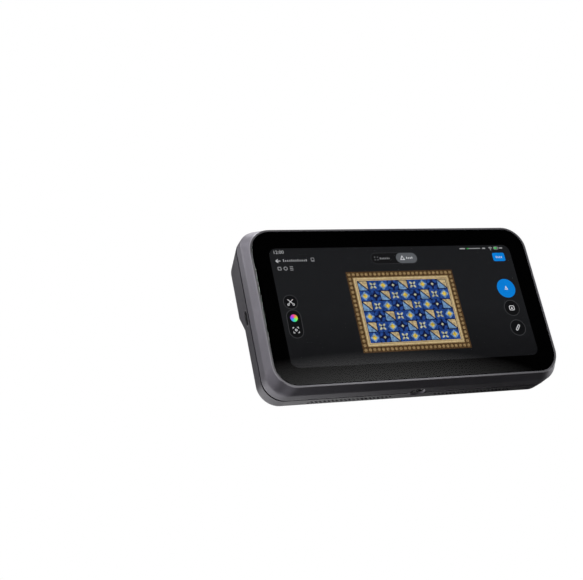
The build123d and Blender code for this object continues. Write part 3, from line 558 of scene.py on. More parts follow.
def circuit(name, ground, trace):
    """Circuit board: solder mask over a net of traces."""
    second_tone, roughness = 0.8, 0.35
    net_scale, trace_share = 220.0, 0.03
    relief, relief_strength = 0.00002, 0.4
    made, tree = new_material(name)
    coords = new_node(tree, "ShaderNodeTexCoord").outputs["Object"]
    turned = new_node(tree, "ShaderNodeMapping", {"Vector": coords, "Rotation": (QUARTER_TURN, 0, 0)})
    net = new_node(
        tree,
        "ShaderNodeTexBrick",
        {
            "Vector": turned.outputs[0],
            "Color1": opaque(ground),
            "Color2": opaque(tinted(ground, second_tone)),
            "Mortar": opaque(trace),
            "Scale": net_scale,
            "Mortar Size": trace_share,
        },
    )
    return coated(
        made,
        {
            "Base Color": net.outputs["Color"],
            "Roughness": roughness,
            "Normal": bumped(tree, net.outputs["Fac"], relief, relief_strength),
        },
    )


def paint(nodes, material):
    """Give CAD nodes a material in every slot."""
    for name in nodes:
        slots = NODES[name].data.materials
        if not slots:
            slots.append(material)
        for index in range(len(slots)):
            slots[index] = material


def add_piece(name, mesh, material, body=MAIN_BODY):
    """Object from a finished mesh that rides on a CAD body, with a material of its own."""
    piece = bpy.data.objects.new(name, mesh)
    mesh.name = name
    mesh.materials.clear()
    mesh.materials.append(material)
    bpy.context.scene.collection.objects.link(piece)
    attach(piece, body)


def flat(across, up):
    """Step or size in the plane of the screen."""
    return Vector((across, up))


def on_screen(across, down):
    """Point of the screen as shares of the cover glass, from its left and from its top."""
    width, height = GLASS_HIGH.x - GLASS_LOW.x, GLASS_HIGH.z - GLASS_LOW.z
    return flat(GLASS_LOW.x + across * width, GLASS_HIGH.z - down * height)


def spot(name):
    """Named place on the screen."""
    return on_screen(*SPOTS[name])


def run(name, width):
    """Named level line on the screen."""
    left, right, down = RUNS[name]
    return bar(on_screen(left, down), on_screen(right, down), width)


def traced(middle, steps, unit):
    """Points at steps from a middle, in units of a length."""
    return [middle + unit * Vector(step) for step in steps]


def arc(centre, radius, start, end, steps):
    """Points along an arc, in degrees from the right, both ends included."""
    turns = [math.radians(start + (end - start) * step / steps) for step in range(steps + 1)]
    return [centre + radius * flat(math.cos(turn), math.sin(turn)) for turn in turns]


def disc(centre, radius, steps=ROUND_STEPS):
    """Round shape."""
    return arc(centre, radius, 0, 360, steps)[:-1], None


def ring(centre, radius, width, steps=ROUND_STEPS):
    """Round band inside a radius."""
    return disc(centre, radius, steps)[0], disc(centre, radius - width, steps)[0]


def plate(centre, width, height, corner):
    """Rectangle with round corners."""
    outline = []
    for start, side, rise in ((0, 1, 1), (90, -1, 1), (180, -1, -1), (270, 1, -1)):
        middle = centre + flat(side * (width / 2 - corner), rise * (height / 2 - corner))
        outline += arc(middle, corner, start, start + 90, CORNER_STEPS)
    return outline, None


def band(centre, width, height, corner, wall):
    """Rectangular band with round corners inside an outline."""
    sharpest = wall / 10
    inner = plate(centre, width - 2 * wall, height - 2 * wall, max(corner - wall, sharpest))[0]
    return plate(centre, width, height, corner)[0], inner


def bar(start, end, width, steps=CORNER_STEPS):
    """Line with round ends."""
    along = math.degrees(math.atan2(end.y - start.y, end.x - start.x))
    far = arc(end, width / 2, along - 90, along + 90, steps)
    near = arc(start, width / 2, along + 90, along + 270, steps)
    return far + near, None


def hollow_bar(start, end, outer, inner, steps=CORNER_STEPS):
    """Band round a line with round ends."""
    return bar(start, end, outer, steps)[0], bar(start, end, inner, steps)[0]


def sector(centre, inner, outer, start, end, steps=CORNER_STEPS):
    """Piece of a round band."""
    return arc(centre, outer, start, end, steps) + arc(centre, inner, end, start, steps), None


def strokes(points, width):
    """Lines with round ends through points."""
    return [bar(start, end, width) for start, end in zip(points, points[1:])]


def ticks(start, rises, line):
    """Row of upright ticks, their heights in widths of a line."""
    pitch, drop, width = 3.1, 1.2, 1.25
    shapes = []
    for index, rise in enumerate(rises):
        foot = start + line * flat(index * pitch, -drop)
        shapes.append(bar(foot, foot + flat(0, rise * line), line * width))
    return shapes


def layer_back(level):
    """Depth of the back of a layer of the shown picture, at a level above the display panel."""
    layout = bpy.context.scene.scanner_screen
    return PANEL_FACE - layout.sheet_gap - level * (layout.sheet + layout.sheet_gap)


def sheet_piece(name, shapes, level, material):
    """Thin flat layer of the shown picture, cut to shapes, at a level above the display panel."""
    back = layer_back(level)
    front = back - bpy.context.scene.scanner_screen.sheet
    shell = bmesh.new()
    for loops in shapes:
        rims = [
            [[shell.verts.new((x, depth, z)) for x, z in loop] for depth in (front, back)]
            for loop in loops
            if loop
        ]
        for near, far in rims:
            for index in range(len(near)):
                shell.faces.new((near[index - 1], near[index], far[index], far[index - 1]))
        for outer, *inner in zip(*rims):
            if not inner:
                shell.faces.new(outer)
                continue
            for index in range(len(outer)):
                shell.faces.new((outer[index - 1], outer[index], inner[0][index], inner[0][index - 1]))
    bmesh.ops.recalc_face_normals(shell, faces=shell.faces)
    mesh = bpy.data.meshes.new(name)
    shell.to_mesh(mesh)
    shell.free()
    add_piece(name, mesh, material)


class Growth:
    """Geometry Nodes tree with named inputs that ends in Realize Instances and Set Material."""

    def __init__(self, name, inputs):
        """Start a tree whose inputs are lengths, turns or shares with their values."""
        self.tree = bpy.data.node_groups.new(name, "GeometryNodeTree")
        face = self.tree.interface
        face.new_socket("Geometry", in_out="INPUT", socket_type="NodeSocketGeometry")
        face.new_socket("Material", in_out="INPUT", socket_type="NodeSocketMaterial")
        for key in inputs:
            face.new_socket(key, in_out="INPUT", socket_type="NodeSocketFloat")
        face.new_socket("Geometry", in_out="OUTPUT", socket_type="NodeSocketGeometry")
        self.values = inputs
        self.source = self.tree.nodes.new("NodeGroupInput").outputs

    def add(self, kind, inputs=None, **settings):
        """Add a node to the tree."""
        return new_node(self.tree, kind, inputs, **settings)

    def circle(self, sides, radius):
        """Round line."""
        return self.add("GeometryNodeCurvePrimitiveCircle", {"Resolution": sides, "Radius": radius})

    def tube(self, line, sides, radius, capped=False):
        """Tube of a number of sides along a line."""
        section = self.circle(sides, radius)
        inputs = {0: line.outputs[0], 1: section.outputs[0], "Fill Caps": capped}
        return self.add("GeometryNodeCurveToMesh", inputs)

    def puck(self, sides, radius, thickness):
        """Flat round slab."""
        inputs = {"Vertices": sides, "Radius": radius, "Depth": thickness}
        return self.add("GeometryNodeMeshCylinder", inputs)

    def copies(self, shape, turn):
        """Copies of a shape on the points of the tree's own geometry, sized by their reach attribute."""
        reach = self.add("GeometryNodeInputNamedAttribute", {"Name": "reach"}, data_type="FLOAT")
        inputs = {
            "Points": self.source["Geometry"],
            "Instance": shape.outputs[0],
            "Rotation": turn,
            "Scale": reach.outputs[0],
        }
        return self.add("GeometryNodeInstanceOnPoints", inputs).outputs[0]

    def grow(self, shape, points, material, reaches=None, turn=(0, 0, 0)):
        """Run the tree with a shape on points and give back a plain mesh."""
        whole = self.add("GeometryNodeRealizeInstances", {0: self.copies(shape, turn)}).outputs[0]
        inputs = {"Geometry": whole, "Material": self.source["Material"]}
        dressed = self.add("GeometryNodeSetMaterial", inputs)
        self.add("NodeGroupOutput", {"Geometry": dressed.outputs[0]})
        seeds = bpy.data.meshes.new(self.tree.name)
        seeds.from_pydata(points, [], [])
        reach = seeds.attributes.new("reach", "FLOAT", "POINT")
        reach.data.foreach_set("value", reaches or [1.0] * len(points))
        holder = bpy.data.objects.new(self.tree.name, seeds)
        bpy.context.scene.collection.objects.link(holder)
        modifier = holder.modifiers.new(self.tree.name, "NODES")
        modifier.node_group = self.tree
        sockets = [item for item in self.tree.interface.items_tree if item.in_out == "INPUT"]
        named = {socket.name: socket.identifier for socket in sockets}
        modifier[named["Material"]] = material
        for key, value in self.values.items():
            modifier[named[key]] = value
        graph = bpy.context.evaluated_depsgraph_get()
        mesh = bpy.data.meshes.new_from_object(holder.evaluated_get(graph))
        holder.modifiers.remove(modifier)
        bpy.data.objects.remove(holder)
        if not mesh.polygons:
            raise RuntimeError(f"{self.tree.name} made no faces")
        return mesh


class SCANNER_OT_body(bpy.types.Operator):
    """Anodised finish of the frame, the housing and the keys"""

    bl_idname = "scanner.body"
    bl_label = "Body finish"

    def execute(self, context):
        finish = context.scene.scanner_body
        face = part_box("front_frame")[0].y
        paint(["front_frame"], anodised("frame_anodised", finish, rim_face=face))
        # The housing is the frame's metal made darker by its tone, as painted shade
        paint(["rear_housing"], anodised("housing_anodised", finish, finish.housing))
        paint(["power_key", "scan_key"], anodised("key_anodised", finish))
        return {"FINISHED"}


class SCANNER_OT_panes(bpy.types.Operator):
    """Cover glass, camera window and the black films behind them"""

    bl_idname = "scanner.panes"
    bl_label = "Panes and films"

    def execute(self, context):
        film = moulded("black_film", (0.0008, 0.0008, 0.0009), 0.6, gloss=0.0)
        foam = moulded("seal_foam", (0.012, 0.012, 0.012), 0.8, grain=0.0004)
        paint(["screen_glass"], pane("cover_glass", WHITE))
        paint(["optical_window"], pane("window_glass", (0.72, 0.72, 0.74)))
        paint(["border_mask", "window_mask"], film)
        paint(["display_panel"], moulded("display_dark", (0.004, 0.004, 0.0045), 0.4, gloss=0.1))
        paint(["screen_gasket", "window_gasket"], foam)
        return {"FINISHED"}


class SCANNER_OT_inside(bpy.types.Operator):
    """Finishes of the pieces inside"""

    bl_idname = "scanner.inside"
    bl_label = "Inner finishes"

    def execute(self, context):
        bare = moulded("bare_alloy", (0.55, 0.56, 0.57), 0.38, metal=1.0, stretch=FINE_LINES)
        dark = moulded("dark_alloy", (0.06, 0.06, 0.064), 0.42, metal=0.8, stretch=FINE_LINES)
        copper = moulded("copper_sheet", (0.7, 0.36, 0.22), 0.3, metal=1.0, stretch=FINE_LINES)
        steel = moulded("plated_steel", (0.45, 0.45, 0.46), 0.28, metal=1.0)
        black = moulded("black_moulding", (0.025, 0.025, 0.026), 0.48)
        board = circuit("green_board", (0.012, 0.07, 0.035), (0.05, 0.16, 0.07))
        amber = moulded("amber_film", (0.45, 0.24, 0.06), 0.3, grain=0.0005)
        paint(["mid_plate", "optics_bench", "sensor_block", "bench_standoffs", "board_posts"], bare)
        paint(["left_lamp_block", "right_lamp_block", "fill_lamp_block", "fin_stack"], dark)
        paint(["heat_spreader"], copper)
        paint(["short_screws", "housing_screws", "fan_shaft"], steel)
        paint(["usb_socket"], moulded("socket_steel", (0.3, 0.3, 0.31), 0.3, metal=1.0))
        paint(["tripod_insert"], moulded("insert_steel", (0.55, 0.55, 0.56), 0.22, metal=1.0))
        paint(["processor", "memory_chips", "key_switches"], moulded("chip_black", (0.02, 0.02, 0.021), 0.5))
        paint(["main_board", "usb_board", "key_board"], board)
        paint(["fan_housing", "fan_cover", "fan_rotor", "battery_tray", "speaker", "projector_body"], black)
        paint(["battery_pack"], moulded("battery_wrap", (0.05, 0.05, 0.055), 0.36, grain=0.0006))
        paint(["battery_lead", "display_flex", "camera_flex"], amber)
        paint(["thermal_pad"], moulded("grey_pad", (0.3, 0.31, 0.33), 0.85, grain=0.0005))
        return {"FINISHED"}


class SCANNER_OT_optics(bpy.types.Operator):
    """Cameras, lamps and projector behind the window, with their rings and dies"""

    bl_idname = "scanner.optics"
    bl_label = "Optics"

    def execute(self, context):
        detail = context.scene.scanner_optics
        paint(CAMERA_NODES, moulded("barrel_grey", (0.055, 0.055, 0.058), 0.5))
        paint(LENS_NODES, moulded("coated_lens", (0.034, 0.034, 0.038), 0.2, coat=0.4))
        paint(["projector_lens"], moulded("projector_pane", (0.0015, 0.0015, 0.002), 0.3, gloss=0.1))
        paint(["projector_bezel"], moulded("bezel_pale", (0.26, 0.26, 0.265), 0.45))
        paint(["range_sensors"], moulded("sensor_grey", (0.06, 0.06, 0.062), 0.4))
        paint(LAMP_NODES, moulded("lamp_resin", (0.042, 0.042, 0.044), 0.3, coat=0.3))
        paint(["fill_lamps"], moulded("lamp_cup", (0.07, 0.067, 0.052), 0.35))
        paint(["fill_lamp_dies"], lit("phosphor", (0.6, 0.42, 0.03), (0.75, 0.62, 0.12), 0.0006))
        metal = moulded("ring_metal", (0.09, 0.09, 0.094), 0.35, metal=0.4)

        # Rings on the lenses, then a ring and a die in each lamp
        points, reaches = [], []
        for name in LENS_NODES:
            low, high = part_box(name)
            for share in detail.ring_shares:
                points.append(((low.x + high.x) / 2, high.y, (low.z + high.z) / 2))
                reaches.append(share * (high.x - low.x) / 2)
        self.rings("lens_rings", points, reaches, detail.ring_tube, metal)
        lamps = [place for name in LAMP_NODES for place in self.lamp_faces(name)]
        self.rings("lamp_rings", lamps, [detail.lamp_ring] * len(lamps), detail.ring_tube * 2, metal)
        self.dies(lamps, detail.die, metal)
        return {"FINISHED"}

    @staticmethod
    def lamp_faces(name):
        """Middles of the rear faces of a row's lamps, whose pitch is read from the gaps between vertices."""
        low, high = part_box(name)
        sides = sorted({round(vertex.co.x, 6) for vertex in NODES[name].data.vertices})
        gaps = [(after - before, before) for before, after in zip(sides, sides[1:])]
        widest = sorted(place for gap, place in sorted(gaps)[-3:])
        pitch = (widest[-1] - widest[0]) / 2
        radius = (high.z - low.z) / 2
        length = high.x - low.x - 2 * radius
        count = round(length / pitch) + 1
        step = length / (count - 1)
        return [(low.x + radius + step * index, high.y, (low.z + high.z) / 2) for index in range(count)]

    @staticmethod
    def rings(name, points, reaches, tube, material):
        """Round rings that face the window, each of its own radius."""
        tube_sides = 8
        growth = Growth(name.replace("_", " "), {"Tube": tube})
        shape = growth.tube(growth.circle(ROUND_STEPS, 1.0), tube_sides, growth.source["Tube"])
        add_piece(name, growth.grow(shape, points, material, reaches, FACING_WINDOW), material)

    @staticmethod
    def dies(points, radius, material):
        """Thin round dies that face the window."""
        thickness = radius / 8
        growth = Growth("lamp dies", {"Thickness": thickness})
        die = growth.puck(SMALL_STEPS, 1.0, growth.source["Thickness"])
        inputs = {"Geometry": die.outputs[0], "Scale": (1, 1, 1 / radius)}
        sized = growth.add("GeometryNodeTransform", inputs)
        mesh = growth.grow(sized, points, material, [radius] * len(points), FACING_WINDOW)
        add_piece("lamp_dies", mesh, material)


class SCANNER_OT_sockets(bpy.types.Operator):
    """Thread of the tripod hole and contacts of the side socket"""

    bl_idname = "scanner.sockets"
    bl_label = "Thread and contacts"

    def execute(self, context):
        detail = context.scene.scanner_optics
        self.thread(detail)
        self.contacts(detail)
        return {"FINISHED"}

    @staticmethod
    def thread(detail):
        """Ridge that winds up the tripod hole, with plain ends of three quarters of a pitch."""
        plain_ends = 1.5
        turn_steps, ridge_sides = 40, 3
        low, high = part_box("tripod_insert")
        middle = middle_of("tripod_insert")
        height = high.z - low.z
        bore = min((vertex.co.xy - middle.xy).length for vertex in NODES["tripod_insert"].data.vertices)
        steel = moulded("thread_steel", (0.6, 0.6, 0.6), 0.2, metal=1.0)
        turns = height / detail.thread_pitch - plain_ends
        growth = Growth("tripod thread", {"Turns": turns, "Ridge": detail.thread_height})
        winding = {
            "Resolution": turn_steps,
            "Rotations": growth.source["Turns"],
            "Start Radius": bore,
            "End Radius": bore,
            "Height": height - plain_ends * detail.thread_pitch,
        }
        line = growth.add("GeometryNodeCurveSpiral", winding)
        ridge = growth.tube(line, ridge_sides, growth.source["Ridge"], capped=True)
        start = (middle.x, middle.y, low.z + plain_ends / 2 * detail.thread_pitch)
        add_piece("tripod_thread", growth.grow(ridge, [start], steel), steel)

    @staticmethod
    def contacts(detail):
        """Contacts on both faces of the tongue, whose width is read from the vertices next to its middle."""
        on_middle = 1e-5
        middle = middle_of("usb_socket")
        offsets = [abs(vertex.co.y - middle.y) for vertex in NODES["usb_socket"].data.vertices]
        tongue = min(offset for offset in offsets if offset > on_middle)
        gold = moulded("contact_gold", (0.75, 0.5, 0.16), 0.25, metal=1.0)
        growth = Growth("socket contacts", dict(zip(("Length", "Thickness", "Width"), detail.contact)))
        source = growth.source
        sides = {0: source["Length"], 1: source["Thickness"], 2: source["Width"]}
        size = growth.add("ShaderNodeCombineXYZ", sides)
        strip = growth.add("GeometryNodeMeshCube", {"Size": size.outputs[0]})
        lift = tongue + detail.contact[1] / 4
        first = middle.z - (detail.contact_count - 1) / 2 * detail.contact_pitch
        points = [
            (middle.x, middle.y + side * lift, first + index * detail.contact_pitch)
            for side in (-1, 1)
            for index in range(detail.contact_count)
        ]
        add_piece("socket_contacts", growth.grow(strip, points, gold), gold)


class SCANNER_OT_screen(bpy.types.Operator):
    """Lit background, status row and mode switch of the screen"""

    bl_idname = "scanner.screen"
    bl_label = "Screen ground and status"

    def execute(self, context):
        layout = context.scene.scanner_screen
        tones = {
            name: lit(f"screen_{name}", getattr(layout, colour)) for name, colour in SCREEN_TONES.items()
        }
        self.ground(layout)
        self.clock(layout, tones["soft"])
        self.left_marks(layout.line, tones)
        self.right_marks(layout.line, tones)
        self.mode_switch(layout, tones)
        return {"FINISHED"}

    @staticmethod
    def ground(layout):
        """Lit background inside the black border."""
        middle = middle_of("display_panel").xz
        width = GLASS_HIGH.x - GLASS_LOW.x - 2 * layout.border
        height = GLASS_HIGH.z - GLASS_LOW.z - 2 * layout.border
        shape = plate(middle, width, height, layout.lit_corner)
        sheet_piece("screen_ground", [shape], 0, lit_ground("screen_ground", layout))

    @staticmethod
    def clock(layout, material):
        """Plain numbers of the clock as a thin layer."""
        height, curve_steps = layout.line * 7.4, 3
        merge_reach = layout.sheet / 20
        curve = bpy.data.curves.new("screen_clock", "FONT")
        curve.body = "12:00"
        curve.size = height
        curve.extrude = layout.sheet / 2
        curve.resolution_u = curve_steps
        holder = bpy.data.objects.new("screen_clock_numbers", curve)
        bpy.context.scene.collection.objects.link(holder)
        mesh = bpy.data.meshes.new_from_object(holder.evaluated_get(bpy.context.evaluated_depsgraph_get()))
        bpy.data.objects.remove(holder)
        shell = bmesh.new()
        shell.from_mesh(mesh)
        bmesh.ops.remove_doubles(shell, verts=shell.verts, dist=merge_reach)
        bmesh.ops.recalc_face_normals(shell, faces=shell.faces)
        shell.to_mesh(mesh)
        shell.free()
        place = spot("clock")
        move = Matrix.Translation((place.x, layer_back(1) - layout.sheet / 2, place.y))
        mesh.transform(move @ Matrix.Rotation(QUARTER_TURN, 4, "X"))
        add_piece("screen_clock", mesh, material)

    @staticmethod
    def left_marks(line, tones):
        """Back arrow, title, pen and three small marks."""
        thin, fine = line * 0.8, line * 0.7
        round_off = line * 1.2
        pen_side, box_side, round_radius = line * 5, line * 5.4, line * 2.9
        tip = spot("arrow")
        arrow = strokes(traced(tip, ARROW_HEAD, line), thin) + strokes(traced(tip, ARROW_SHAFT, line), thin)
        sheet_piece("screen_arrow", arrow, 1, tones["white"])
        sheet_piece("screen_title", ticks(spot("title"), TITLE_TICKS, line), 1, tones["soft"])
        marks = [
            band(spot("pen"), pen_side, pen_side, round_off, fine),
            run("pen_line", fine),
            band(spot("box_mark"), box_side, box_side, round_off, line),
            ring(spot("round_mark"), round_radius, line),
        ]
        marks += [run(name, line) for name in ("list_upper", "list_middle", "list_lower")]
        sheet_piece("screen_marks", marks, 1, tones["pale"])

    @staticmethod
    def right_marks(line, tones):
        """Memory bar, signal and charge."""
        bold, track = line * 1.8, line * 1.3
        signal_dot, signal_rings, signal_width = line * 0.8, (line * 1.8, line * 3.6), line * 0.9
        signal_start, signal_end = 45, 135
        charge_width, charge_height = line * 7.5, line * 4.4
        charge_corner, charge_wall = line * 1.2, line * 0.6
        level_width, level_height, level_corner = line * 4.6, line * 2.6, line * 0.5
        foot = spot("signal")
        marks = [run("memory_mark", bold), run("memory_amount", bold), disc(foot, signal_dot, DOT_STEPS)]
        for inner in signal_rings:
            marks.append(sector(foot, inner, inner + signal_width, signal_start, signal_end))
        marks.append(run("charge_amount", bold))
        marks.append(band(spot("charge"), charge_width, charge_height, charge_corner, charge_wall))
        sheet_piece("screen_status", marks, 1, tones["soft"])
        sheet_piece("screen_memory_track", [run("memory_track", track)], 1, tones["pale"])
        level = plate(spot("charge_level"), level_width, level_height, level_corner)
        sheet_piece("screen_green_marks", [run("memory_filled", track), level], 2, tones["green"])

    @staticmethod
    def mode_switch(layout, tones):
        """Mode switch in two halves, each with its icon and ticks."""
        height_share, chosen_share = 0.78, 0.96
        line = layout.line
        rim, small = line * 0.8, line * 0.9
        dot, dot_spacing = line * 0.62, line * 2.2
        tall = 2 * layout.tool_radius * height_share
        inset = flat(tall / 2, 0)
        left = spot("switch_left") + inset
        split = spot("switch_split") + inset
        right = spot("switch_right") - inset
        sheet_piece("screen_switch", [bar(left, right, tall, SWITCH_STEPS)], 1, tones["switch"])
        outline = hollow_bar(left, right, tall + rim, tall, SWITCH_STEPS)
        sheet_piece("screen_switch_rim", [outline], 1, tones["switch_rim"])
        chosen = bar(split, right, tall * chosen_share, SWITCH_STEPS)
        sheet_piece("screen_switch_chosen", [chosen], 2, tones["switch_chosen"])
        points = [disc(place, dot, DOT_STEPS) for place in traced(spot("points_icon"), CORNERS, dot_spacing)]
        points += ticks(spot("points_ticks"), POINTS_TICKS, small)
        sheet_piece("screen_switch_points", points, 2, tones["pale"])
        mesh = strokes(traced(spot("mesh_icon"), MESH_ICON, line), line)
        mesh += ticks(spot("mesh_ticks"), MESH_TICKS, small)
        sheet_piece("screen_switch_mesh", mesh, 3, tones["white"])


class SCANNER_OT_keys(bpy.types.Operator):
    """Round keys and tools that the screen shows"""

    bl_idname = "scanner.keys"
    bl_label = "Screen keys"

    def execute(self, context):
        layout = context.scene.scanner_screen
        white = lit("key_white", layout.white)
        self.dark_keys(layout)
        self.icons(layout, white)
        self.colour_wheel(layout)
        self.blue_keys(layout, white)
        return {"FINISHED"}

    @staticmethod
    def dark_keys(layout):
        """Faces and edges of the cutter's key, the capsule below it and the two round keys at the right."""
        above, below = 0.16, 0.12
        key, tool, thin = layout.key_radius, layout.tool_radius, layout.line * 0.8
        cutter, round_keys = spot("cutter"), (spot("shield"), spot("pill"))
        top = spot("wheel") + flat(0, tool * above)
        low = spot("frame_mark") - flat(0, tool * below)
        faces = [disc(cutter, tool), bar(top, low, 2 * tool, SWITCH_STEPS)]
        faces += [disc(place, key) for place in round_keys]
        sheet_piece("screen_key_faces", faces, 1, lit("key_dark", layout.key_dark))
        edges = [ring(cutter, tool, thin)]
        edges += [ring(place, key, thin) for place in round_keys]
        edges.append(hollow_bar(top, low, 2 * tool, 2 * (tool - thin), SWITCH_STEPS))
        sheet_piece("screen_key_edges", edges, 2, lit("key_edge", layout.key_edge))

    @staticmethod
    def icons(layout, material):
        """Cutter, framing mark, shield and pill."""
        line = layout.line
        reach = layout.tool_radius * 0.36
        grip_radius, grip_width, blade = line * 1.5, line * 0.65, line * 0.75
        frame_reach, frame_leg, thin = reach * 1.05, line * 1.6, line * 0.8
        focus_radius = line * 1.7
        shield_width, shield_height, shield_corner = line * 8.8, line * 7.6, line * 2.2
        eye_drop, eye_radius = line * 0.4, line * 1.3
        pill_width, pill_hollow = line * 3.6, line * 1.7
        cutter, frame_mark, shield, pill = spot("cutter"), spot("frame_mark"), spot("shield"), spot("pill")
        grips = traced(cutter, ((-1, -1), (1, -1)), reach)
        shapes = [ring(place, grip_radius, grip_width, SMALL_STEPS) for place in grips]
        for steps in CUTTER_BLADES:
            shapes += strokes(traced(cutter, steps, reach), blade)
        for side, rise in CORNERS:
            corner = frame_mark + frame_reach * flat(side, rise)
            legs = [corner - flat(side * frame_leg, 0), corner, corner - flat(0, rise * frame_leg)]
            shapes += strokes(legs, thin)
        shapes.append(ring(frame_mark, focus_radius, thin, SMALL_STEPS))
        shapes.append(band(shield, shield_width, shield_height, shield_corner, line))
        shapes.append(disc(shield - flat(0, eye_drop), eye_radius, HOLE_STEPS))
        lean = line * Vector(PILL_LEAN)
        shapes.append(hollow_bar(pill - lean, pill + lean, pill_width, pill_hollow))
        sheet_piece("screen_icons", shapes, 3, material)

    def colour_wheel(self, layout):
        """Colour wheel in sectors, each of its own hue."""
        hues, red_angle, sector_steps = 12, 70, 4
        hub, rim = layout.line * 0.3, layout.tool_radius * 0.5
        step = 360 / hues
        for index in range(hues):
            start = step * index
            tone = lit(f"wheel_{index}", self.hue((red_angle - start - step / 2) / 360))
            shape = sector(spot("wheel"), hub, rim, start, start + step, sector_steps)
            sheet_piece(f"screen_wheel_{index}", [shape], 3, tone)

    @staticmethod
    def hue(turn):
        """Bright colour at a turn of the colour wheel, from 0 to 1."""
        floor, reach, contrast = 0.06, 0.86, 1.6
        parts = [0.5 + 0.5 * math.cos(2 * math.pi * (turn - shift / 3)) for shift in range(3)]
        return tuple(floor + reach * part**contrast for part in parts)

    @staticmethod
    def blue_keys(layout, white):
        """Save key and start key, with their marks."""
        start_share, save_corner = 1.2, 0.2
        line = layout.line
        small, cone_width, fold_width = line * 0.95, line * 0.85, line * 0.7
        ticks_shift = line * flat(4.4, 0.1)
        low, high = spot("save_low"), spot("save_high")
        size, save = high - low, (low + high) / 2
        start = spot("start")
        start_radius = layout.key_radius * start_share
        faces = [plate(save, size.x, size.y, size.y * save_corner), disc(start, start_radius)]
        sheet_piece("screen_blue_keys", faces, 1, lit("key_blue", layout.blue))
        marks = ticks(save - ticks_shift, SAVE_TICKS, small)
        marks += strokes(traced(start, START_CONE, line), cone_width)
        marks += strokes(traced(start, START_FOLD, line), fold_width)
        sheet_piece("screen_blue_marks", marks, 2, white)


